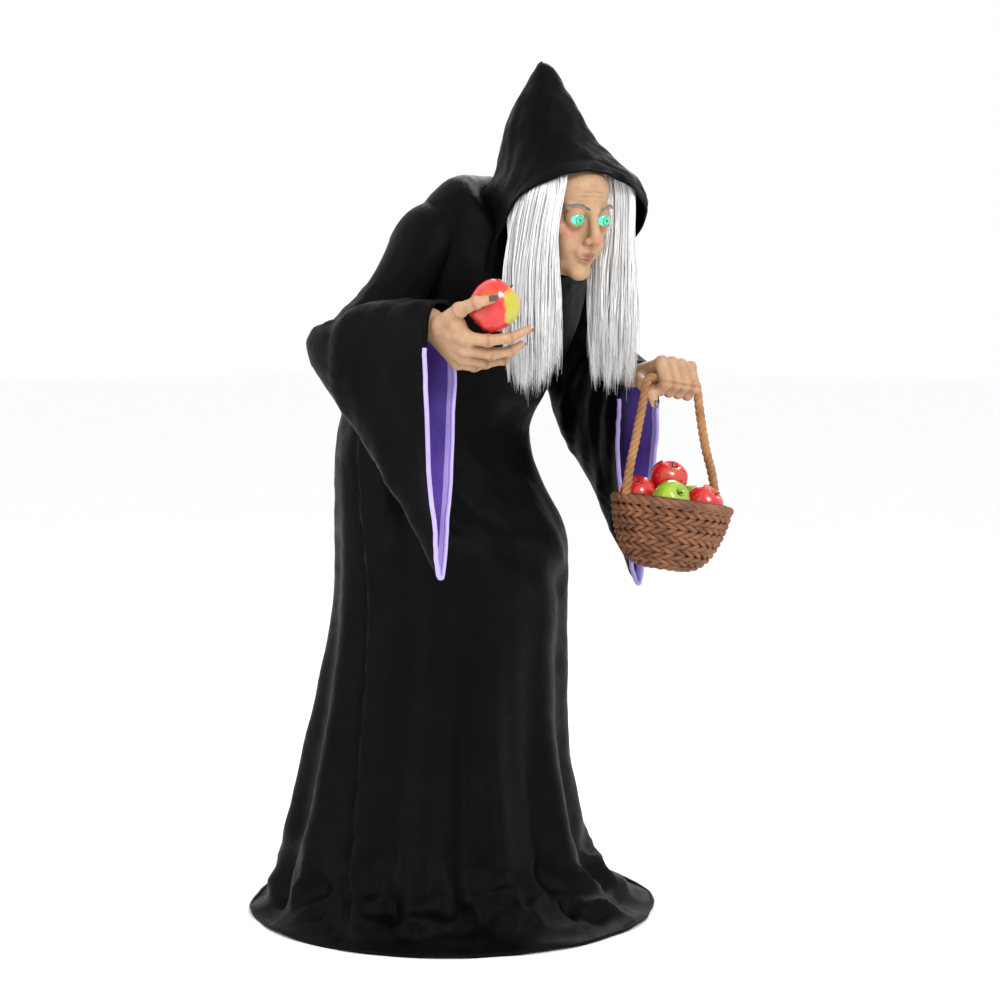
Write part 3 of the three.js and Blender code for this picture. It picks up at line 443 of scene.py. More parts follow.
# Painted shade: a darker copy of the wicker for the wall that fills the gaps between the woven strands and
# lines the inside.
WICKER_SHADED = fibre_look("wicker_shaded", (0.045, 0.018, 0.008), (0.12, 0.048, 0.02), (1, 1, 0.4))
ROPE = fibre_look("rope_fibre", (0.26, 0.12, 0.045), (0.50, 0.26, 0.115))
EYE = eye_look()

CAD_LOOKS = {
    "black_steel": metal_look("black_powder_coat", (0.018, 0.018, 0.02), (0.035, 0.035, 0.038), 0.5, 0.25),
    "rubber": plain_look("rubber", (0.010, 0.010, 0.010), (0.022, 0.022, 0.022), 0.85),
    "black_plastic": plain_look("moulded_plastic", (0.014, 0.014, 0.016), (0.026, 0.026, 0.03), 0.5),
    "bright_metal": metal_look("brushed_metal", (0.42, 0.42, 0.44), (0.62, 0.62, 0.64), 0.32, 1, (1, 1, 8)),
    "gear_plastic": plain_look("gear_nylon", (0.66, 0.63, 0.55), (0.78, 0.75, 0.67), 0.45),
    "circuit": plain_look("circuit_board", (0.012, 0.09, 0.035), (0.02, 0.14, 0.055), 0.4, 900, 0.0004),
    "arm_tube": metal_look("arm_tube", (0.025, 0.025, 0.027), (0.05, 0.05, 0.052), 0.45, 0.5),
    "foam": plain_look("foam", (0.055, 0.055, 0.06), (0.10, 0.10, 0.105), 0.95, 900, 0.0012),
    "robe_cloth": ROBE,
    "skin": SKIN,
    "eye_lens": EYE,
    "hair": HAIR,
    "apple_red": APPLE_RED,
    "apple_green": APPLE_GREEN,
    "wicker": WICKER,
    "rope": ROPE,
}


def dress_cad():
    """Gives every carried-over CAD node the finish of its slot in the record."""
    for entry in frame["record"]["subparts"]:
        mesh = nodes[entry["node"]].data
        mesh.materials.clear()
        mesh.materials.append(CAD_LOOKS[entry["material_slot"]])


# ------------------------------------------------------------------ robe
HEM_LIFT, HEM_REACH = 0.004, 0.404  # the cloth stays above the one and within the other
ROBE_SIDES = 220
# front y and z, back y and z, half width and the lift of the sides, in mm, from the hem to the neck
ROBE_RINGS = [
    (-405, 0, 405, 0, 405, 0), (-398, 7, 398, 7, 398, 0), (-366, 18, 372, 18, 368, 0),
    (-327, 38, 357, 38, 342, 0), (-280, 75, 353, 75, 316, 0), (-259, 110, 348, 110, 303, 0),
    (-236, 220, 318, 220, 276, 0), (-220, 350, 290, 350, 255, 0), (-227, 600, 237, 600, 232, 0),
    (-225, 750, 233, 750, 229, 0), (-169, 850, 245, 850, 207, 0), (-142, 950, 242, 950, 192, 0),
    (-191, 1040, 205, 1050, 196, 0), (-232, 1100, 150, 1130, 199, 0), (-252, 1145, 98, 1210, 202, 0),
    (-264, 1180, 55, 1285, 203, 5), (-270, 1205, 12, 1350, 200, 20), (-274, 1220, -30, 1400, 188, 40),
    (-276, 1232, -75, 1435, 165, 55), (-278, 1240, -112, 1448, 140, 55),
    (-279, 1246, -135, 1440, 120, 45), (-278, 1250, -150, 1420, 105, 30),
]
# angle at the floor and at the waist, width (all in degrees from the front, her left positive), height in mm
ROBE_FOLDS = [
    (-19, -30, 8, 23), (-31, -37, 6, -19), (-46, -50, 9, 17), (-60, -64, 7, -14), (6, -4, 7, -24),
    (17, 6, 9, 20), (33, 25, 8, -19), (50, 44, 9, 21), (68, 66, 9, -20), (88, 84, 10, 22),
    (108, 106, 8, -21), (128, 124, 10, 23), (147, 146, 8, -20), (166, 164, 10, 21), (-175, -178, 8, -19),
    (-157, -160, 9, 21), (-139, -143, 8, -20), (-122, -127, 8, 20), (-111, -117, 6, -19), (-97, -106, 7, 17),
]
WRAP_EDGE = (-75, -91)  # the overlapping front panel's edge, at the floor and at the waist


def angle_between(a, b):
    return (a - b + 180) % 360 - 180


def robe_relief(theta, grid):
    """Height of the robe's folds above its smooth shape, in metres."""
    z = grid[..., 2]
    degrees = np.degrees(theta)[None, :]
    rise = np.clip(z / 0.8, 0, 1.25)
    drift = 2.5 * wobble(grid * vec(0.3, 0.3, 1), 0.5, 3, 2)
    grown = smooth((1.0 - z) / 0.85) ** 0.8
    relief = np.zeros(z.shape)
    for k, (low, high, width, height) in enumerate(ROBE_FOLDS):
        centre = low + (high - low) * rise + drift
        reach = 0.75 + 0.5 * math.sin(2.4 * k)
        share = smooth((reach - z) / 0.55) * 0.75 + 0.25
        relief += height * share * np.exp(-(angle_between(degrees, centre) / width) ** 2)
    edge = angle_between(degrees, WRAP_EDGE[0] + (WRAP_EDGE[1] - WRAP_EDGE[0]) * rise + 0.4 * drift)
    wrap = np.where(edge > 0, 9 * np.exp(-edge / 9) * smooth(edge / 1.6), -13 * np.exp(edge / 2.6))
    relief = relief * grown + wrap * smooth((1.05 - z) / 0.3)
    near_floor = smooth(z / 0.03) * smooth((0.2 - z) / 0.13)
    relief += near_floor * 8.5 * (1 - np.abs(wobble(grid * vec(1, 1, 0.75), 0.11, 11, 2)) * 2.2)
    relief = relief * (0.25 + 0.75 * smooth((z - 0.004) / 0.045))
    hip = np.exp(-((z - 0.88) / 0.12) ** 2) * np.clip(np.cos(theta[None, :] + 0.5), 0, 1)
    slant = grid @ vec(5.5, -3.0, 15.0)
    relief += hip * 6.5 * np.sin(slant * 2 + 1.6 * wobble(grid, 0.2, 5, 2))
    above = z - (0.80 - 0.0022 * (degrees + 20)) - 0.012 * wobble(grid, 0.22, 15, 2)
    roll = 13 * np.exp(-((above / np.where(above > 0, 0.055, 0.016)) ** 2))
    span = smooth((degrees + 78) / 30) * smooth((48 - degrees) / 26)
    relief += span * (roll - 7 * np.exp(-(((above + 0.045) / 0.03) ** 2)))
    back = smooth((z - 0.9) / 0.15) * smooth((1.38 - z) / 0.1)
    relief += back * 4.0 * wobble(grid * vec(1.0, 0.5, 0.35), 0.14, 9, 2)
    return (relief + 1.2 * wobble(grid, 0.09, 21, 3)) * MM


def make_robe():
    rings = curve(np.array(ROBE_RINGS) * MM, 0.009)
    theta = np.linspace(-math.pi, math.pi, ROBE_SIDES, endpoint=False)
    front_y, front_z, back_y, back_z, half, lift = (c[:, None] for c in rings.T)
    forward = (1 + np.cos(theta)[None, :]) / 2
    sine = np.sin(theta)[None, :]
    y = back_y + (front_y - back_y) * forward
    z = back_z + (front_z - back_z) * forward + lift * sine**2
    grid = np.stack([half * sine, y, z], -1)
    grid = grid + grid_normals(grid) * robe_relief(theta, grid)[..., None]
    grid[..., 2] = np.maximum(grid[..., 2], HEM_LIFT)
    reach = np.linalg.norm(grid[..., :2], axis=-1, keepdims=True)
    grid[..., :2] *= np.minimum(1, HEM_REACH / reach)
    robe = add_piece("robe_body", grid.reshape(-1, 3), grid_faces(len(grid), ROBE_SIDES), ROBE)
    thicken(robe, 0.003)
    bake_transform(robe)
    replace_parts(robe, "robe_skirt", "robe_upper")
    hem = Soup()
    hem.tube(grid[1] + vec(0, 0, 0.001), 0.0032, 6, closed=True)
    hem.piece("robe_hem", ROBE, "robe_cloth", "base")


# ------------------------------------------------------------------ sleeves
# rings from the shoulder to the cuff, in mm: middle, then the half axes at angle 0 and at angle 90
SLEEVE_R = [
    (-150, -115, 1322, 0, 0, 78, 0, 78, 0), (-198, -113, 1302, -14, 4, 62, 6, 70, 0),
    (-235, -86, 1211, -36, 21, 38, 28, 52, 0), (-291, -53, 1143, -33, 20, 34, 23, 42, 0),
    (-330, -20, 1116, -20, 0, 50, -26, 32, -6), (-348, -75, 1101, 0, -10, 76, -44, 8, 0),
    (-340, -168, 1060, 0, 0, 148, -51, -8, 0), (-314, -298, 957, 0, 0, 249, -53, -13, 0),
]
SLEEVE_L = [
    (150, -115, 1325, 0, 0, 80, 0, 80, 0), (214, -115, 1322, 10, 0, 80, 0, 78, 0),
    (262, -112, 1262, 43.6, 4.6, 43.8, -7.7, 73.6, 0), (276, -96, 1160, 45.3, 10, 14.3, -15, 64, 0),
    (304, -50, 1045, 52, 5, 0, -5, 50, -40), (302, -75, 1000, 51.9, -3.6, 0, 0, 20, -106),
    (292, -155, 950, 55.5, -7.8, 0, 0, 0, -172), (279, -246, 866, 54, -11.5, 0, 0, 0, -224),
]
CUFF_DEEP = 26  # rows of lining inside each cuff
CUFF_EDGE = 2  # rows of the turned edge, lavender where painted as lit satin: a painted highlight
SATIN_RISE = 0.052  # how far the purple satin goes on above the turned edge
SLEEVE_SIDES = 96


def sleeve_grid(stations, seed):
    rows = curve(np.array(stations) * MM, 0.008)
    phi = np.linspace(0, 2 * math.pi, SLEEVE_SIDES, endpoint=False)
    middle, first, second = rows[:, None, 0:3], rows[:, None, 3:6], rows[:, None, 6:9]
    bell = smooth((np.arange(len(rows)) / len(rows) - 0.45) / 0.5)[:, None]
    square = 1 - 0.42 * bell
    rise, side = (np.sign(w) * np.abs(w)[None, :] ** square for w in (np.cos(phi), np.sin(phi)))
    offset = first * rise[..., None] + second * side[..., None]
    tall = np.abs(offset[..., 2]).max(1, keepdims=True)
    low = 0.5 - 0.5 * offset[..., 2] / tall
    narrow = 1 - bell * 0.72 * low**1.6
    offset[..., :2] *= narrow[..., None]
    grid = middle + offset
    normal = grid_normals(grid)
    if (normal * offset).sum() < 0:
        normal = -normal
    away = smooth(np.arange(len(rows)) / 18)[:, None]
    folds = 6.5 * wobble(grid * vec(1, 1, 0.35), 0.11, seed, 2) + 2.8 * wobble(grid, 0.05, seed + 1, 2)
    folds = np.maximum(folds, -1.5 - 5 * bell)
    grid = grid + normal * (away * folds * (1 - 0.35 * bell) * MM)[..., None]
    return grid, normal


def make_sleeve(side, stations, seed, body, edge_top):
    """One sleeve with its lining. Its turned edge is lavender below edge_top, just under the wrist: a
    painted highlight of the lit satin.
    """
    grid, normal = sleeve_grid(stations, seed)
    faces = grid_faces(len(grid), SLEEVE_SIDES)
    sleeve = add_piece(f"sleeve_{side}_cloth", grid.reshape(-1, 3), faces, ROBE)
    thicken(sleeve, 0.0015, 0.0)
    inside = (grid - normal * 0.0028)[-CUFF_DEEP:]
    last = np.arange(CUFF_DEEP - 1)[:, None] >= CUFF_DEEP - 1 - CUFF_EDGE
    # Painted highlight: the turned edge and its cord are lavender only below edge_top, where the satin is
    # lit.
    below = grid[-1, :, 2] < edge_top
    which = np.where(inside[:-1, :, 2] > edge_top + SATIN_RISE, 2, last & below[None, :]).ravel()
    faces = grid_faces(CUFF_DEEP, SLEEVE_SIDES)
    looks = [SATIN, SATIN_LIT, ROBE]
    inside = inside.reshape(-1, 3)
    lining = add_piece(f"sleeve_{side}_lining", inside, faces, looks, body, which)
    thicken(lining, 0.0012, 0.0)
    edge = Soup()
    edge.tube(grid[-1] - normal[-1] * 0.0012, 0.0042, 8, closed=True)
    edge.looks = np.repeat(below, 8).astype(int).tolist()
    cord = edge.piece(f"cuff_{side}_edge", [ROBE, SATIN_LIT], "robe_cloth", body)
    if side == "right":
        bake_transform(sleeve)
    else:
        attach(sleeve, "torso")
    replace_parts(sleeve, f"sleeve_{side}")


# ------------------------------------------------------------------ hood
NECK = (0.0, -0.245)  # x and y of the axis that the head turns about
HOOD_TOP = 1.655
FLARE_FADES = 0.04
HOOD_SIDES, HOOD_ROWS = 160, 64
# angle from the front (her left positive), radius and height of the hood's lower edge
HOOD_EDGE = [
    (-180, 0.108, 1.440), (-150, 0.104, 1.424), (-125, 0.115, 1.395), (-110, 0.132, 1.330),
    (-96, 0.140, 1.262), (-82, 0.148, 1.318), (-60, 0.156, 1.400), (-30, 0.160, 1.437),
    (0, 0.156, 1.447), (30, 0.180, 1.4165), (54, 0.203, 1.372), (70, 0.192, 1.320), (88, 0.160, 1.262),
    (105, 0.138, 1.330), (125, 0.118, 1.395), (150, 0.104, 1.424), (180, 0.108, 1.440),
]
# height, mean radius, how far the cone leans to her front left
HOOD_CONE = [
    (1.240, 0.142, 0.036), (1.300, 0.147, 0.043), (1.372, 0.150, 0.050), (1.400, 0.148, 0.053),
    (1.438, 0.133, 0.050), (1.476, 0.108, 0.031), (1.514, 0.085, 0.015), (1.552, 0.071, 0.011),
    (1.580, 0.058, 0.010), (1.609, 0.0405, 0.0105), (1.630, 0.0275, 0.0085), (1.645, 0.0165, 0.007),
    (1.652, 0.0085, 0.005), (1.655, 0.001, 0.003),
]


def cone_radius(angle, z):
    heights, means, leans = columns(HOOD_CONE)
    return table_at(z, heights, means) + table_at(z, heights, leans) * np.cos(angle - math.radians(45))


def hood_flare(angle):
    """Height of the hood's lower edge at an angle, and how far it stands out from the cone."""
    marks, radii, heights = columns(HOOD_EDGE)
    edge_z = table_at(np.degrees(angle), marks, heights)
    return edge_z, table_at(np.degrees(angle), marks, radii) - cone_radius(angle, edge_z)


def hood_grid():
    angle = np.linspace(-math.pi, math.pi, HOOD_SIDES, endpoint=False)
    degrees = np.degrees(angle)
    edge_z, flare = hood_flare(angle)
    share = 1 - (1 - np.linspace(0, 1, HOOD_ROWS)[:, None]) ** 1.35
    z = edge_z + (HOOD_TOP - edge_z) * share
    turn = np.broadcast_to(angle, z.shape)
    radius = cone_radius(turn, z) + flare * np.exp(-(z - edge_z) / FLARE_FADES)
    grid = np.stack([NECK[0] + radius * np.sin(turn), NECK[1] - radius * np.cos(turn), z], -1)
    normal = grid_normals(grid)
    if (normal[:, :, :2] * (grid[:, :, :2] - vec(*NECK))).sum() < 0:
        normal = -normal
    calm = smooth((HOOD_TOP - z) / 0.06)
    folds = 3.2 * wobble(grid * vec(1, 1, 0.6), 0.12, 31, 2) + 1.4 * wobble(grid, 0.05, 32, 2)
    seam = 2.0 * np.exp(-(angle_between(degrees, 180) / 2.0) ** 2)[None, :]
    stitched = -1.8 * np.exp(-((z - edge_z - 0.022) / 0.003) ** 2)
    return grid + normal * ((calm * folds + seam + stitched) * MM)[..., None], normal


def make_hood():
    grid, normal = hood_grid()
    faces = grid_faces(HOOD_ROWS, HOOD_SIDES)
    hood = add_piece("hood_cloth", grid.reshape(-1, 3), faces, ROBE)
    thicken(hood, 0.003)
    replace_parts(hood, "hood")
    rim = Soup()
    rim.tube(grid[0] - normal[0] * 0.0015, 0.0032, 6, closed=True)
    edge = rim.piece("hood_edge", ROBE, "robe_cloth")
    for piece in (hood, edge):
        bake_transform(piece)


# ------------------------------------------------------------------ clay, in millimetres
FAR = 30.0  # the clay's distance where nothing is near


class Clay:
    """A signed distance field on a grid. Soft shapes are added to it or carved from it."""

    def __init__(self, low, high, step):
        self.low, self.step = vec(*low), step
        size = np.ceil((vec(*high) - self.low) / step).astype(int) + 1
        self.axes = [self.low[k] + step * np.arange(size[k]) for k in range(3)]
        self.field = np.full(size, FAR)

    def block(self, low, high, margin):
        """The slices of the field round a box, and the places of their cells."""
        ends = zip(self.axes, low - margin, high + margin)
        cut = tuple(slice(*np.searchsorted(axis, [first, last])) for axis, first, last in ends)
        x, y, z = (axis[part] for axis, part in zip(self.axes, cut))
        return cut, np.stack(np.meshgrid(x, y, z, indexing="ij"), -1)

    def blend(self, cut, distance, soft, carve):
        """Joins or carves a shape, rounded over the width soft where it meets the rest."""
        field = self.field[cut]
        sign = -1 if carve else 1
        h = np.maximum(soft - np.abs(field - sign * distance), 0) / soft
        merged = np.maximum(field, -distance) if carve else np.minimum(field, distance)
        self.field[cut] = merged - sign * h * h * soft / 4

    def ball(self, centre, radii, soft=6.0, carve=False, turn=None):
        centre, radii = vec(*centre), np.broadcast_to(np.asarray(radii, float), 3)
        reach = radii.max() if turn is not None else radii
        cut, p = self.block(centre - reach, centre + reach, soft + 3 * self.step)
        p = p - centre
        if turn is not None:
            p = p @ np.array(Matrix.Rotation(math.radians(turn[0]), 3, turn[1]))
        near = np.sqrt(((p / radii) ** 2).sum(-1))
        slope = np.sqrt(((p / radii**2) ** 2).sum(-1))
        self.blend(cut, near * (near - 1) / np.maximum(slope, 1e-9), soft, carve)

    def limb(self, a, b, ra, rb, soft, carve=False):
        """A round bar from a to b, of radius ra at one end and rb at the other."""
        a, b = vec(*a), vec(*b)
        reach = max(ra, rb)
        cut, p = self.block(np.minimum(a, b) - reach, np.maximum(a, b) + reach, soft + 3 * self.step)
        t = np.clip(((p - a) @ (b - a)) / ((b - a) @ (b - a)), 0, 1)
        gap = np.linalg.norm(p - a - t[..., None] * (b - a), axis=-1)
        self.blend(cut, gap - (ra + (rb - ra) * t), soft, carve)

    def mesh(self):
        """Points, and faces that point out."""
        volume = vdb.FloatGrid(background=FAR)
        volume.copyFromArray(self.field.astype(np.float32))
        points, triangles, quads = volume.convertToPolygons(isovalue=0.0, adaptivity=0.0)
        faces = [list(map(int, f)) for f in triangles] + [list(map(int, f)) for f in quads]
        points = np.array(points) * self.step + self.low
        a, b, c = (points[[f[k] for f in faces]] for k in range(3))
        inward = (a * np.cross(b, c)).sum() < 0
        return points, [f[::-1] for f in faces] if inward else faces

    def skin(self, name, place, body):
        """Makes the clay a piece of skin. Also gives its points in the clay's own millimetres."""
        points, faces = self.mesh()
        return add_piece(name, placed(points, place), faces, SKIN, body), points


# ------------------------------------------------------------------ head
HEAD_TURN, HEAD_NOD = math.radians(-8), math.radians(12)
HEAD_PLACE = Matrix.Rotation(HEAD_TURN, 4, "Z") @ Matrix.Rotation(HEAD_NOD, 4, "X")
HEAD_PLACE.translation = (0, -0.302, 1.371)
EYE_AT = vec(31, -76, 4)
EYE_RADIUS = 17.0
LID_FOLD = [(-14, -12, 11.5), (0, -15, 15.5), (15, -10, 12)]
NECK_DRIVE_ROOM = 34.0  # mm, radius of the hollow in the neck round the drive
NECK_DRIVE_SPAN = (1.14, 1.25)  # m, its bottom and top


def placed(points, place, scale=MM):
    m = np.array(place)
    return (np.asarray(points) * scale) @ m[:3, :3].T + m[:3, 3]


def near_point(points, centre, radii):
    """1 at the centre, falling to 0 at the radii."""
    far = np.sqrt((((points - vec(*centre)) / np.asarray(radii, float)) ** 2).sum(-1))
    return smooth(1 - far)


def shape_head(clay):
    clay.ball((0, 12, 40), (74, 88, 76))
    clay.ball((0, -22, -20), (59, 62, 86), 16)
    clay.ball((0, -34, -72), (45, 45, 36), 18)
    clay.ball((0, -72, -97), (22, 15, 16), 18)
    clay.ball((0, -34, 50), (62, 56, 50), 14)
    for side in (-1, 1):
        clay.ball((side * 44, -56, -16), (19, 17, 15), 12)
        clay.ball((side * 31, -66, -46), (19, 18, 24), 14)
        clay.limb((side * 9, -87, 21), (side * 45, -70, 24), 7.5, 6.5, 10)
        clay.ball((side * 31, -94, 4), (19, 15, 13), 10, carve=True)
    clay.limb((0, -89, 18), (0, -104, -22), 7, 9, 10)
    clay.ball((0, -108, -31), (11.5, 11, 9.5), 7)
    for side in (-1, 1):
        clay.ball((side * 11, -98, -35), (7.5, 9, 7), 5)
        clay.ball((side * 6.5, -107, -42), (3.6, 5, 4), 2.5, carve=True)
        clay.limb((side * 17, -94, -33), (side * 31, -82, -62), 1.1, 1.5, 3.5, carve=True)
        clay.limb((side * 46, -74, -2), (side * 54, -62, -6), 0.7, 0.7, 2.5, carve=True)
        clay.limb((side * 27, -91, -13), (side * 42, -80, -16), 0.9, 0.7, 3.5, carve=True)
    clay.ball((0, -85, -54), (24, 12, 14), 10)
    clay.ball((0, -99, -51), (2.6, 3.2, 6.5), 3, carve=True)
    for side in (-1, 1):
        clay.limb((side * 3.5, -94.5, -59.5), (side * 21, -86, -63.5), 3.4, 2.0, 4)
        clay.limb((0, -93.5, -68.5), (side * 15, -88.5, -66.5), 4.4, 2.5, 4.5)
        clay.limb((0, -99, -64), (side * 23, -87.5, -64.5), 1.2, 0.9, 1.4, carve=True)
    clay.ball((0, -96, -80), (13, 6, 4.5), 6, carve=True)
    for side in (-1, 1):
        eye = EYE_AT * vec(side, 1, 1)
        clay.ball(eye, EYE_RADIUS + 2.6, 3)
        clay.limb(eye + vec(-14, -16, -1.5), eye + vec(14, -14, -0.5), 7.0, 7.0, 2.0, True)
        clay.ball(eye + vec(0, -17, -0.5), (16.5, 12, 9.5), 2.0, carve=True)
        clay.ball(eye, EYE_RADIUS + 0.5, 1.0, carve=True)
        lid = eye + np.array(LID_FOLD) * vec(side, 1, 1)
        clay.limb(lid[0], lid[1], 0.5, 0.6, 2.5, True)
        clay.limb(lid[1], lid[2], 0.6, 0.5, 2.5, True)
        clay.ball((side * 72, 12, -6), (7, 17, 27), 5, turn=(side * 14, "Z"))
        clay.ball((side * 79, 8, -2), (5, 9, 14), 3, carve=True)
    for z, half in ((46, 30), (55, 26)):
        clay.limb((-half, -84, z - 3), (0, -89, z), 0.6, 0.8, 3.5, True)
        clay.limb((0, -89, z), (half, -84, z - 3), 0.8, 0.6, 3.5, True)
    clay.limb((0, 36, -60), (0, 72, -122), 41, 43, 16)
    return clay


def make_head():
    clay = shape_head(Clay((-92, -128, -172), (92, 122, 122), 1.6))
    into_head = HEAD_PLACE.inverted()
    drive = [vec(*(into_head @ Vector((*NECK, z)))) / MM for z in NECK_DRIVE_SPAN]
    clay.limb(*drive, NECK_DRIVE_ROOM, NECK_DRIVE_ROOM, 1.0, carve=True)
    head, points = clay.skin("head_skin", HEAD_PLACE, "head")
    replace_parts(head, "face_shell", "skull_shell")
    warm = 0.55 * near_point(points, (0, -110, -30), (22, 26, 24))
    for side in (-1, 1):
        warm += 0.42 * near_point(points, (side * 42, -70, -24), (26, 26, 24))
        warm += 0.35 * near_point(points, (side * 76, 10, -6), (14, 26, 32))
    paint(head, "warm", np.clip(warm, 0, 1))
    lip = near_point(points, (0, -97, -60.5), (24, 14, 6.5))
    lip += near_point(points, (0, -95, -69), (20, 14, 7.5))
    paint(head, "lip", np.clip(lip * 1.5, 0, 0.9))
    # Painted shade: darker round the eye hollows, down the folds beside the nose and mouth, and in the line
    # between the lips.
    crease_shade = 0.0
    for side in (-1, 1):
        ring = np.linalg.norm((points - vec(side * 31, -92, 3)) / vec(20, 14, 13), axis=1)
        crease_shade = crease_shade + 0.55 * smooth(1.3 - ring)
        for t in np.linspace(0, 1, 6):
            fold = (side * (17 + 14 * t), -94 + 12 * t, -33 - 29 * t)
            crease_shade = crease_shade + 0.18 * near_point(points, fold, (5, 8, 7))
    crease_shade = crease_shade + 1.2 * near_point(points, (0, -94, -64.3), (25, 10, 2.2))
    paint(head, "crease_shade", np.clip(crease_shade, 0, 0.85))
    for side, name in ((-1, "right"), (1, "left")):
        make_eye(side, name)
    make_brows()


def make_brows():
    brows = Soup()
    for side in (-1, 1):
        for k in range(46):
            t = k / 45
            stray = chance.uniform(-2, 2)
            base = vec(side * (12 + 38 * t), -96.1 + 17 * t**1.7, 22 + 9 * math.sin(t * 2.6) + stray)
            lean = vec(side * (7 + 3 * t), 1.5 + 5 * t, 3.2 - 5.5 * t)
            path = base + np.linspace(0, 1, 4)[:, None] * lean
            brows.tube(placed(path, HEAD_PLACE), np.array([0.7, 0.75, 0.5, 0.15]) * MM, 4)
    brows.piece("brows", BROW, "hair", "head")


def make_eye(side, name):
    rows, columns = 40, 48
    polar = np.linspace(0.0001, math.pi * 0.62, rows)[:, None, None]
    turn = np.linspace(0, 2 * math.pi, columns, endpoint=False)[None, :, None]
    look_at = unit(vec(side * 0.05, -1, -0.05))
    across = unit(np.cross(look_at, vec(0, 0, 1)))
    up = np.cross(across, look_at)
    bulge = EYE_RADIUS + 0.9 * np.exp(-(polar / 0.5) ** 2)
    direction = np.cos(polar) * look_at + np.sin(polar) * (np.cos(turn) * across + np.sin(turn) * up)
    grid = placed((EYE_AT * vec(side, 1, 1) + bulge * direction).reshape(-1, 3), HEAD_PLACE)
    eye = add_piece(f"eye_{name}_lens", grid, grid_faces(rows, columns), EYE, "head")
    paint(eye, "from_pupil", np.repeat(polar.ravel() / (math.pi * 0.36), columns))
    thicken(eye, 0.001)
    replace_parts(eye, f"eye_{name}")


# ------------------------------------------------------------------ hair
# height, middle x and y (her left side), half widths along x and y, from the lock's lower end to its top
LOCK = [
    (1.02, 0.106, -0.323, 0.046, 0.046), (1.12, 0.108, -0.323, 0.053, 0.053),
    (1.20, 0.108, -0.322, 0.052, 0.055), (1.27, 0.108, -0.320, 0.046, 0.056),
    (1.34, 0.106, -0.320, 0.034, 0.058), (1.40, 0.098, -0.330, 0.034, 0.056),
    (1.448, 0.086, -0.338, 0.034, 0.050),
]
LOCK_FRONT = -0.308  # the locks hang in front of this y, clear of the chest when the head turns
LOCK_STRANDS, LOCK_WISPS, SCALP_STRANDS = 1500, 46, 1900
HAIR_POINTS = 16


def hood_clear(points):
    """Draws in the points that would stand outside the hood."""
    x, y, z = points[..., 0] - NECK[0], points[..., 1] - NECK[1], points[..., 2]
    angle = np.arctan2(x, -y)
    edge_z, flare = hood_flare(angle)
    room = cone_radius(angle, z) + flare * np.exp(-np.maximum(z - edge_z, 0) / FLARE_FADES) - 0.011
    share = np.where(z > edge_z - 0.012, np.minimum(1, room / np.hypot(x, y)), 1)
    return np.stack([NECK[0] + x * share, NECK[1] + y * share, z], -1)


SKULL_BALLS = [((0, 12, 40), (78, 92, 80)), ((0, -20, -20), (66, 70, 90)), ((0, -34, -72), (50, 50, 40))]


def skull_clear(points):
    """Moves points that are inside the head's rough shape out to its surface."""
    inverse = np.array(HEAD_PLACE.inverted())
    local = points @ inverse[:3, :3].T + inverse[:3, 3]
    out = local / MM
    for centre, radii in SKULL_BALLS:
        gap = (out - vec(*centre)) / vec(*radii)
        far = np.linalg.norm(gap, axis=-1, keepdims=True)
        out = np.where(far < 1, vec(*centre) + gap / np.maximum(far, 0.2) * vec(*radii), out)
    return placed(out, HEAD_PLACE)


def strand_mesh(paths, radius):
    """Three-sided tapered hairs, one for each path [hair, point, xyz]."""
    count, length, _ = paths.shape
    taper = np.interp(np.linspace(0, 1, length), [0, 0.1, 0.7, 1], [0.7, 1, 0.85, 0.12])
    a = np.linspace(0, 2 * math.pi, 3, endpoint=False)
    ring = np.stack([np.cos(a), np.sin(a), np.zeros(3)], -1)
    size = (radius[:, None] * taper[None, :])[..., None, None]
    points = paths[:, :, None, :] + size * ring
    one = grid_faces(length, 3)
    ends = np.array([[0, 2, 1], [3 * length - 3, 3 * length - 2, 3 * length - 1]])
    starts = (np.arange(count) * length * 3)[:, None, None]
    return points.reshape(-1, 3), [(one + starts).reshape(-1, 4), (ends + starts).reshape(-1, 3)]


def lock_paths(side, count, draw):
    """Strands of one lock, gathered in wisps that draw together towards their tips."""
    home = draw.uniform(0, 2 * math.pi, LOCK_WISPS), np.sqrt(draw.uniform(0.05, 1, LOCK_WISPS))
    tip = 1.03 + 0.10 * draw.beta(1.6, 2.4, LOCK_WISPS) + 0.02 * home[1]
    which = draw.integers(0, LOCK_WISPS, count)
    spread = draw.normal(0, 0.19, (count, 2))
    hx = home[1][which] * np.cos(home[0][which])
    hy = home[1][which] * np.sin(home[0][which])
    end = tip[which] + draw.normal(0, 0.012, count) + draw.exponential(0.012, count)
    t = np.linspace(0, 1, HAIR_POINTS)[None, :]
    top = LOCK[-1][0]
    z = top + (end[:, None] - top) * t
    levels, *shape = columns(LOCK)
    cx, cy, ax, ay = (np.interp(z, levels, values) for values in shape)
    gather = 1 - 0.5 * t**2.2
    u = hx[:, None] + spread[:, :1] * gather
    v = hy[:, None] + spread[:, 1:] * gather
    shrink = np.minimum(1, 1.05 / np.maximum(np.sqrt(u**2 + v**2), 1e-6))
    points = np.stack([side * (cx + ax * u * shrink), cy + ay * v * shrink, z], -1)
    sway_x = np.sin(7 * t + draw.uniform(0, 6, count)[:, None])
    sway_y = np.cos(6 * t + draw.uniform(0, 6, count)[:, None])
    sway = 0.0035 * t[..., None] * np.stack([sway_x, sway_y, 0 * z], -1)
    points = hood_clear(skull_clear(points + sway))
    behind = points[..., 1] - (LOCK_FRONT + 0.08 * (np.abs(points[..., 0]) - 0.05))
    points[..., 1] -= 0.97 * np.maximum(behind, 0) * smooth((1.37 - points[..., 2]) / 0.06)
    return points


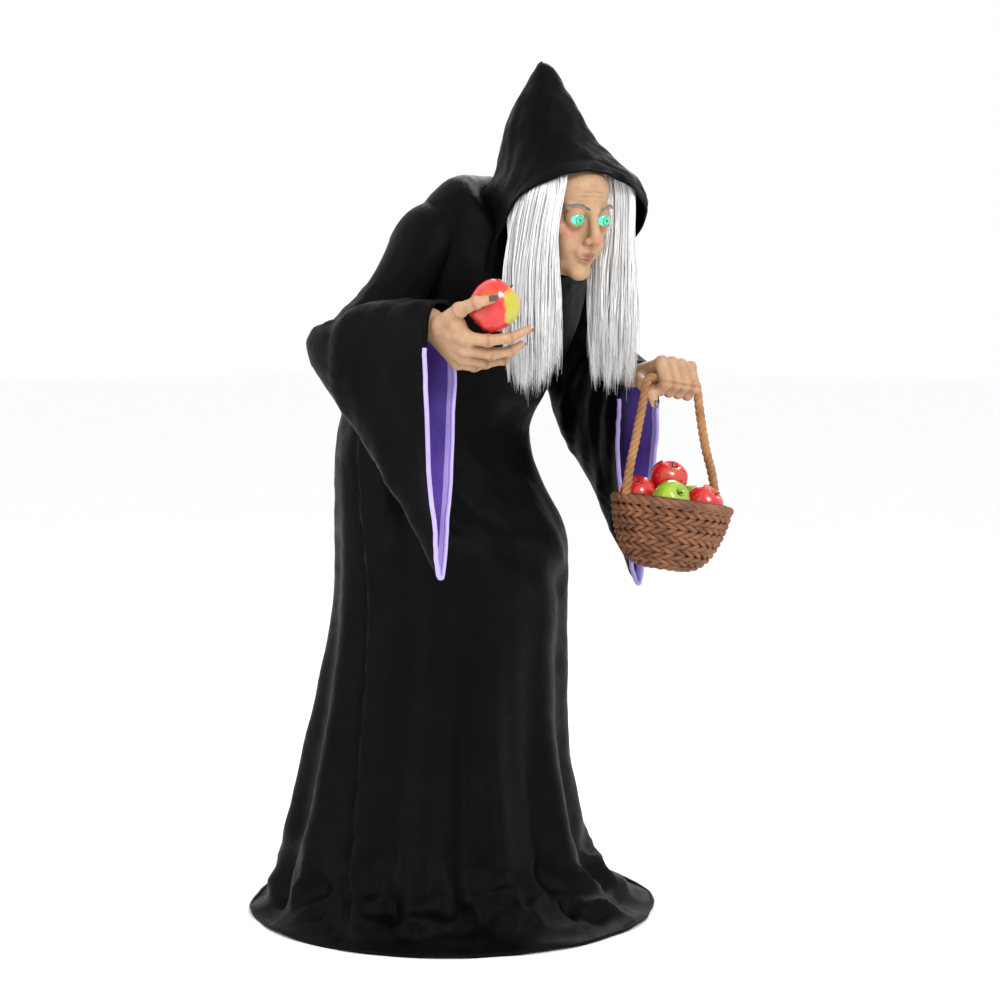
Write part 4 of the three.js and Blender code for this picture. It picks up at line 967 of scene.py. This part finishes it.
def add_hair(name, paths, radius, node):
    soup = Soup()
    soup.add(*strand_mesh(paths, radius * MM))
    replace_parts(soup.piece(name, HAIR, "hair", "head"), node)


def make_hair():
    for side, name in ((-1, "right"), (1, "left")):
        draw = np.random.default_rng(40 + side)
        paths = lock_paths(side, LOCK_STRANDS, draw)
        add_hair(f"hair_{name}_strands", paths, draw.uniform(0.7, 1.35, LOCK_STRANDS), f"hair_lock_{name}")
    draw = np.random.default_rng(77)
    paths = scalp_paths(SCALP_STRANDS, draw)
    add_hair("wig_hair", paths, draw.uniform(0.8, 1.4, SCALP_STRANDS), "wig_cap")


def scalp_paths(count, draw):
    """Hair combed from a centre parting down both sides of the head, over the cap."""
    start = draw.uniform(-62, 96, count)
    side = np.where(draw.random(count) < 0.5, -1.0, 1.0)[:, None]
    t = np.linspace(0, 1, HAIR_POINTS)[None, :]
    fall = t * (math.pi * np.interp(start, [-62, -24], [0.33, 0.62]))[:, None]
    lift = draw.uniform(1.5, 7.0, count)[:, None]
    y = start[:, None] + t * draw.normal(-4, 6, count)[:, None]
    x_share, z_share = (np.sqrt(np.clip(1 - ((y - 12) / reach) ** 2, 0.05, 1)) for reach in (96, 100))
    x = side * (2 + (74 + lift) * np.sin(fall) * x_share)
    z = 38 + (76 + lift) * np.cos(fall) * z_share
    paths = placed(np.stack([x, y, z], -1).reshape(-1, 3), HEAD_PLACE).reshape(count, HAIR_POINTS, 3)
    return hood_clear(skull_clear(paths))


# ------------------------------------------------------------------ hands
def add_nail(soup, tip, direction, back, length, width, place=Matrix.Identity(4)):
    """A curved, pointed plate that lies on the back of a fingertip. All in millimetres."""
    direction = unit(vec(*direction))
    back = unit(vec(*back) - direction * (vec(*back) @ direction))
    rows, sides = 9, 9
    t = np.linspace(0, 1, rows)[:, None, None]
    s = np.linspace(-1, 1, sides)[None, :, None]
    half = width / 2 * np.clip(np.sqrt(np.clip(1 - ((t - 0.35) / 0.75) ** 2, 0, 1)), 0.05, 1)
    arch = 2.2 * (1 - s**2) - 1.68 * t**2
    top = vec(*tip) + direction * (t * length - 5.0) + np.cross(direction, back) * half * s + back * arch
    number = np.arange(rows * sides).reshape(rows, sides)
    border = np.concatenate([number[0], number[1:, -1], number[-1, -2::-1], number[-2:0:-1, 0]])
    after = np.roll(border, -1)
    upper = grid_faces(rows, sides, wrap_columns=False)
    rim = np.column_stack([border, border + rows * sides, after + rows * sides, after])
    points = np.vstack([top.reshape(-1, 3), (top - back * 1.3).reshape(-1, 3)])
    soup.add(placed(points, place), [upper, upper[:, ::-1] + rows * sides, rim])


def finger(clay, joints, radii, soft=4.5):
    """A finger through its joints, thicker at the knuckles."""
    for k in range(len(joints) - 1):
        clay.limb(joints[k], joints[k + 1], radii[k], radii[k + 1], soft)
        if 0 < k:
            clay.ball(joints[k], radii[k] * 1.13, 3)


HALF_ROOT = 0.7071


def from_camera_side(across, ahead, z):
    """The point that is so far across and ahead for a viewer who looks along +X +Y."""
    return vec(HALF_ROOT * (across + ahead), HALF_ROOT * (ahead - across), z)


APPLE_HELD, APPLE_HELD_RADIUS = (-0.285, -0.405, 1.197), 0.0445
# joints from the knuckle to the tip, in mm across, ahead and up, with the radii there
RIGHT_FINGERS = [
    ([(35, -500, 1142), (75, -500, 1137), (115, -492, 1142), (146, -480, 1157)], [12, 10.5, 9.0, 6.5]),
    ([(35, -484, 1122), (80, -476, 1113), (115, -466, 1118), (134, -458, 1130)], [12, 10.5, 9.0, 6.5]),
    ([(30, -466, 1106), (70, -452, 1097), (101, -442, 1102), (114, -436, 1114)], [11.5, 10, 8.5, 6.5]),
    ([(20, -448, 1096), (50, -430, 1090), (70, -420, 1094), (81, -414, 1104)], [10.5, 9, 7.8, 6.0]),
]
RIGHT_THUMB = ([(-10, -462, 1165), (25, -515, 1190), (54, -540, 1203), (82, -544, 1209)],
               [16, 13, 10.5, 7.5])


def make_right_hand():
    clay = Clay((-470, -520, 1060), (-200, -240, 1250), 1.3)
    digits = RIGHT_FINGERS + [RIGHT_THUMB]
    fingers = [([from_camera_side(*p) for p in joints], radii) for joints, radii in digits]
    wrist = from_camera_side(-32, -429, 1170)
    towards_elbow = unit(vec(-23, 257, -38))
    clay.limb(wrist + towards_elbow * 50, wrist, 25, 26, 8)
    for (joints, _), thick in zip(fingers[:4], (16, 15, 14, 12)):
        clay.limb(wrist + (joints[0] - wrist) * 0.12, joints[0], 21, thick, 10)
    clay.ball(from_camera_side(22, -500, 1165), 15, 12)
    for joints, radii in fingers:
        finger(clay, joints, radii)
    for joints, _ in fingers[:4]:
        middle = joints[0] * 0.25 + wrist * 0.75 + vec(-8, -6, 12)
        clay.limb(middle, joints[0] + vec(-6, -8, 7), 1.6, 1.4, 6)
    clay.ball(vec(*APPLE_HELD) / MM, APPLE_HELD_RADIUS / MM + 0.7, 1.5, carve=True)
    hand, points = clay.skin("right_hand_skin", Matrix.Identity(4), "right_arm")
    paint_hand(hand, points, fingers)
    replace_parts(hand, "right_hand")
    nails = Soup()
    for joints, radii in fingers[:4]:
        ahead = joints[3] - joints[2]
        tip = joints[3] + unit(ahead) * radii[3] * 0.3 - vec(0, 0, radii[3] * 0.9)
        add_nail(nails, tip, ahead, (-0.2, -0.3, -1), 15, 9)
    joints, radii = fingers[4]
    tip = joints[3] + radii[3] * vec(-0.55, -0.6, 0.3)
    add_nail(nails, tip, joints[3] - joints[2], (-0.6, -0.7, 0.45), 17, 12)
    nails.piece("right_hand_nails", NAIL, "skin", "right_arm")


def paint_hand(hand, points, fingers):
    """Warm knuckles and fingertips, and painted shade in three fine creases across each joint."""
    warm = np.zeros(len(points))
    crease_shade = np.zeros(len(points))
    for joints, radii in fingers:
        for k in (1, 2):
            warm += 0.5 * near_point(points, joints[k], (radii[k] * 1.7,) * 3)
            bend = unit(joints[k + 1] - joints[k - 1])
            along = (points - joints[k]) @ bend
            close = np.linalg.norm(points - joints[k], axis=1) < radii[k] * 1.8
            # Painted shade in three fine lines across the joint.
            for line in (-2.2, 0.0, 2.2):
                crease_shade += 0.5 * np.exp(-((along - line) / 0.9) ** 2) * close
        warm += 0.4 * near_point(points, joints[3], (radii[3] * 2,) * 3)
    paint(hand, "warm", np.clip(warm, 0, 0.6))
    paint(hand, "lip", np.zeros(len(points)))
    paint(hand, "crease_shade", np.clip(crease_shade, 0, 0.6))


GRIP = vec(0.205, -0.400, 1.055)
YAW, TILT = math.radians(-15), math.radians(9)
ALONG = vec(math.cos(YAW) * math.cos(TILT), math.sin(YAW) * math.cos(TILT), -math.sin(TILT))
ACROSS = vec(-math.sin(YAW), math.cos(YAW), 0)
UPWARD = np.cross(ALONG, ACROSS)
BASKET_PLACE = Matrix([[ALONG[k], ACROSS[k], UPWARD[k], GRIP[k]] for k in range(3)] + [[0, 0, 0, 1]])
BASKET_TURN = np.array(BASKET_PLACE)[:3, :3].T


def make_left_hand():
    """A closed fist round the rope: knuckles on top, fingers down the front, thumb tucked at her right."""
    clay = Clay((-80, -62, -72), (80, 194, 72), 1.3)
    wrist, palm = vec(2, 99, 10), vec(0, 62, 12)
    clay.limb((9, 170, 4), wrist, 19, 25, 8)
    fingers = []
    for k in range(4):
        x = -33 + 22 * k
        knuckle = vec(x, -2, 33 - abs(k - 1.2) * 1.5)
        joints = [knuckle, vec(x, -27, -6), vec(x * 0.97, -8, -22), vec(x * 0.95, 12, -14)]
        fingers.append((joints, [12.5, 11.5, 10.0, 8.5]))
        clay.limb(wrist + (knuckle - wrist) * 0.15, knuckle, 20, 11.5, 8)
    clay.limb(palm + vec(-20, 4, -11), palm + vec(20, 2, -9), 14, 12, 16)
    for joints, radii in fingers:
        finger(clay, joints, radii, 3.0)
        clay.ball(joints[0] + vec(0, -2, 2), 12.0, 4)
    joints = [vec(-26, 70, -2), vec(-45, 28, -14), vec(-48, -6, -30), vec(-46, -16, -50)]
    thumb = (joints, [15, 12, 10.5, 7.5])
    finger(clay, *thumb)
    clay.limb((-90, 0, 0), (90, 0, 0), 8.9, 8.9, 1.5, carve=True)
    for side in (-1, 1):
        clay.limb((side * 49 + 3, 0, -2), (side * 62, 0, -20), 9.2, 9.2, 1.5, carve=True)
    hand, points = clay.skin("left_hand_skin", BASKET_PLACE, "torso")
    paint_hand(hand, points, fingers + [thumb])
    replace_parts(hand, "left_hand")
    nail = Soup()
    add_nail(nail, joints[3] + vec(0, -7, 2), joints[3] - joints[2], (-0.1, -1, 0.2), 15, 9, BASKET_PLACE)
    nail.piece("left_thumb_nail", NAIL, "skin", "torso")


# ------------------------------------------------------------------ apples
APPLE_OUTLINE = [
    (0.02, -0.80), (0.16, -0.86), (0.34, -0.93), (0.60, -0.84), (0.85, -0.50), (0.98, -0.05), (0.985, 0.25),
    (0.90, 0.58), (0.68, 0.85), (0.42, 0.95), (0.22, 0.86), (0.10, 0.70), (0.02, 0.60),
]


def apple_axes(lean, turn):
    """Three axes: two across the apple, and the one from its base to its stem."""
    up = unit(vec(*lean))
    across = unit(np.cross(up, vec(0.3, 1, 0.1)))
    ahead = np.cross(up, across)
    c, s = math.cos(turn), math.sin(turn)
    return across * c + ahead * s, ahead * c - across * s, up


def add_apple(name, node, centre, radius, lean, look, slot, body, turn, gold=None):
    """A lobed apple with a stem. Gold is the way that its golden patch faces, if it has a large one."""
    outline = curve(np.column_stack([APPLE_OUTLINE, np.zeros(len(APPLE_OUTLINE))]), 0.055)
    sides = 56
    a = np.linspace(0, 2 * math.pi, sides, endpoint=False)[None, :]
    r, h = outline[:, :1], outline[:, 1:2]
    lobes = 1 + 0.014 * np.cos(5 * a) * (0.35 + 0.65 * np.abs(h)) + 0.02 * np.cos(2 * a + 1)
    height = h - 0.018 * np.cos(5 * a) * smooth((-h - 0.55) / 0.3) + 0.02 * np.cos(a + 0.7) * r
    axes = np.array(apple_axes(lean, turn))
    x_axis, _, up = axes
    grid = radius * np.stack([r * lobes * np.cos(a), r * lobes * np.sin(a), height], -1) @ axes
    ends = [up * radius * -0.78, up * radius * 0.57]
    soup = Soup()
    soup.add(np.vstack([grid.reshape(-1, 3), ends]) + vec(*centre), capped_faces(len(outline), sides))
    pit = np.append(np.repeat(smooth((0.30 - outline[:, 0]) / 0.3) * (outline[:, 1] > 0), sides), [0, 1])
    bend = np.linspace(0, 1, 7)[:, None]
    path = vec(*centre) + radius * (up * (0.56 + 0.56 * bend) + x_axis * 0.16 * bend**2)
    soup.tube(path, radius * np.interp(bend[:, 0], [0, 0.6, 1], [0.040, 0.032, 0.05]), 7, look=1)
    piece = soup.piece(name, [look, STEM], slot, body)
    paint(piece, "pit", np.append(pit * 0.8, np.zeros(soup.count - len(pit))))
    facing = (np.vstack(soup.points) - vec(*centre)) @ unit(vec(*(gold or lean))) / radius
    paint(piece, "gold", np.clip(facing * (1.0 if gold else 0.4), 0, 1))
    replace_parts(piece, node)


# ------------------------------------------------------------------ basket
RIM, DROP, DEPTH = 0.118, 0.230, 0.130
SHIFT = DROP * math.tan(TILT)  # the basket hangs straight down from the tilted rope
LINER_SIDES, HOOP_POINTS = 96, 420
WEAVE_ROWS, WEAVE_PITCH = 13, 0.040
# shares of RIM and DEPTH, from the middle of the floor to the rim
BOWL = [
    (0.0, -1.0), (0.35, -0.995), (0.56, -0.95), (0.725, -0.81), (0.85, -0.59), (0.93, -0.37), (0.975, -0.18),
    (0.985, -0.02),
]
HANDLE = [
    (SHIFT - 0.108, -0.233), (SHIFT - 0.107, -0.170), (-0.066, -0.115), (-0.061, -0.044), (-0.058, -0.012),
    (-0.047, 0.0), (0.0, 0.0), (0.047, 0.0), (0.060, -0.012), (0.070, -0.044), (0.096, -0.115),
    (SHIFT + 0.086, -0.170), (SHIFT + 0.106, -0.233),
]
# number, place on the tray in mm, look, slot and the way the stem leans
BASKET_APPLES = [
    (1, -38, -46, 2, APPLE_GREEN, "apple_green", (0.1, -0.9, 0.6)),
    (2, 40, -46, 2, APPLE_RED, "apple_red", (0.35, -0.7, 0.9)),
    (3, 64, 24, 2, APPLE_GREEN, "apple_green", (0.5, 0.1, 1)),
    (4, -64, 24, 2, APPLE_RED, "apple_red", (-0.5, -0.2, 1)),
    (5, 0, 24, 41, APPLE_RED, "apple_red", (-0.1, -0.55, 1)),
]


def in_basket(points):
    return placed(points, BASKET_PLACE, 1.0)


def hoops(radii, heights, sides):
    """Level rings about the basket's axis, as a grid. Heights count from its rim."""
    a = np.linspace(0, 2 * math.pi, sides, endpoint=False)
    r, z = np.atleast_1d(radii)[:, None], np.atleast_1d(heights)[:, None]
    rings = np.stack([SHIFT + r * np.cos(a), r * np.sin(a), z - DROP + 0 * a], -1)
    return in_basket(rings.reshape(-1, 3)).reshape(rings.shape)


def make_basket():
    rows = curve(np.column_stack([BOWL, np.zeros(len(BOWL))]), 0.02)
    radius, height = rows[:, 0] * RIM, rows[:, 1] * DEPTH
    keep = radius > 0.01
    # The liner is painted shade: the wall between and inside the strands, in the darker copy of the wicker.
    outer = hoops(radius[keep] - 0.0092, height[keep] + 0.006, LINER_SIDES)
    inner = hoops(radius[keep] - 0.0120, height[keep] + 0.0095, LINER_SIDES)
    wall = np.concatenate([outer, inner[::-1]])
    shell = Soup()
    shell.add(wall, grid_faces(len(wall), LINER_SIDES, wrap_rows=True))
    shell.piece("basket_liner", WICKER_SHADED, "wicker", "basket")

    fine = np.linspace(0, 2 * math.pi, HOOP_POINTS, endpoint=False)
    outwards = np.stack([np.cos(fine), np.sin(fine), 0 * fine], -1) @ BASKET_TURN
    run = np.concatenate([[0], np.cumsum(np.hypot(np.diff(radius), np.diff(height)))])
    start = run[np.searchsorted(radius, 0.35 * RIM)]
    weave = Soup()
    for k, level in enumerate(np.linspace(start, run[-1] - 0.012, WEAVE_ROWS)):
        r, z = np.interp(level, run, radius) - 0.006, np.interp(level, run, height) + 0.006
        ring = hoops(r, z, HOOP_POINTS)
        pitch = WEAVE_PITCH if k % 2 else -WEAVE_PITCH
        weave.strands(ring[0], outwards, 0.0046, 0.0037, 2, pitch, 7, True)
    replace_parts(weave.piece("basket_weave", WICKER, "wicker", "basket"), "basket_bowl")

    rim = Soup()
    rim.strands(hoops(RIM - 0.007, -0.004, HOOP_POINTS)[0], outwards, 0.0052, 0.0040, 3, 0.062, 7, True)
    rim.piece("basket_rim", WICKER, "wicker", "basket")

    rope = Soup()
    path = in_basket(curve([(x, 0, z) for x, z in HANDLE], 0.004))
    rope.strands(path, np.tile(ACROSS, (len(path), 1)), 0.0050, 0.0043, 3, 0.040, 9)
    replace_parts(rope.piece("basket_rope_handle", ROPE, "rope", "basket"), "basket_handle")

    for number, x, y, z, look, slot, lean in BASKET_APPLES:
        centre = in_basket(vec(SHIFT + x * MM, y * MM, z * MM - DROP)[None])[0]
        name, node = f"apple_{number}", f"basket_apple_{number}"
        add_apple(name, node, centre, 0.0365, vec(*lean) @ BASKET_TURN, look, slot, "basket", number * 1.3)


# ------------------------------------------------------------------ hidden pad
def make_hump_pad():
    """The foam pad under the hump, as a puffed block with rounded edges."""
    pad = bpy.data.objects.new("hump_foam", nodes["hump_pad"].data.copy())
    scene.collection.objects.link(pad)
    pad.data.materials.clear()
    pad.data.materials.append(CAD_LOOKS["foam"])
    remesh = pad.modifiers.new("even", "REMESH")
    remesh.mode = "VOXEL"
    remesh.voxel_size = 0.005
    relax = pad.modifiers.new("relax", "SMOOTH")
    relax.iterations = 12
    dg = bpy.context.evaluated_depsgraph_get()
    mesh = bpy.data.meshes.new_from_object(pad.evaluated_get(dg))
    pad.modifiers.clear()
    pad.data = mesh
    mesh.shade_smooth()
    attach(pad, "torso")
    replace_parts(pad, "hump_pad")


# ------------------------------------------------------------------ floor and light
def make_stage():
    add_stage_plane("floor", 60.0)
    world = bpy.data.worlds.new("studio")
    world.use_nodes = True
    sky = world.node_tree.nodes["Background"]
    sky.inputs["Color"].default_value = (1, 1, 1, 1)
    sky.inputs["Strength"].default_value = 1.0
    scene.world = world
    add_area("key", (-1.2, -3.6, 3.4), 1.4, 100)
    add_area("fill", (-3.6, 0.6, 2.4), 1.8, 40)
    add_area("back", (2.6, 1.8, 3.0), 1.8, 50)


def add_stage_plane(name, size):
    mesh = bpy.data.meshes.new(name)
    corners = [(x * size / 2, y * size / 2, 0) for x, y in ((-1, -1), (1, -1), (1, 1), (-1, 1))]
    mesh.from_pydata(corners, [], [(0, 1, 2, 3)])
    look = Look("pale_floor", Roughness=0.9)
    look.base(look.between(look.noise(3, 2), 0.97, 0.985))
    mesh.materials.append(look.material)
    plane = bpy.data.objects.new(name, mesh)
    scene.collection.objects.link(plane)
    return plane


def add_area(name, place, size, power):
    light = bpy.data.lights.new(name, "AREA")
    light.shape = "DISK"
    light.size = size
    light.energy = power
    lamp = bpy.data.objects.new(name, light)
    lamp.location = place
    lamp.rotation_euler = (Vector((0, 0, 0.9)) - Vector(place)).to_track_quat("-Z", "Y").to_euler()
    scene.collection.objects.link(lamp)


dress_cad()
make_robe()
make_sleeve("right", SLEEVE_R, 51, "right_arm", 1.13)
make_sleeve("left", SLEEVE_L, 61, "torso", 1.01)
make_hood()
make_head()
make_hair()
make_right_hand()
make_left_hand()
add_apple("apple_held", "held_apple", APPLE_HELD, APPLE_HELD_RADIUS, (0.5, -0.35, 0.6), APPLE_RED,
          "apple_red", "right_arm", 0.6, (0.35, -0.93, 0.1))
make_basket()
make_hump_pad()
make_stage()
scene.view_settings.view_transform = "Standard"
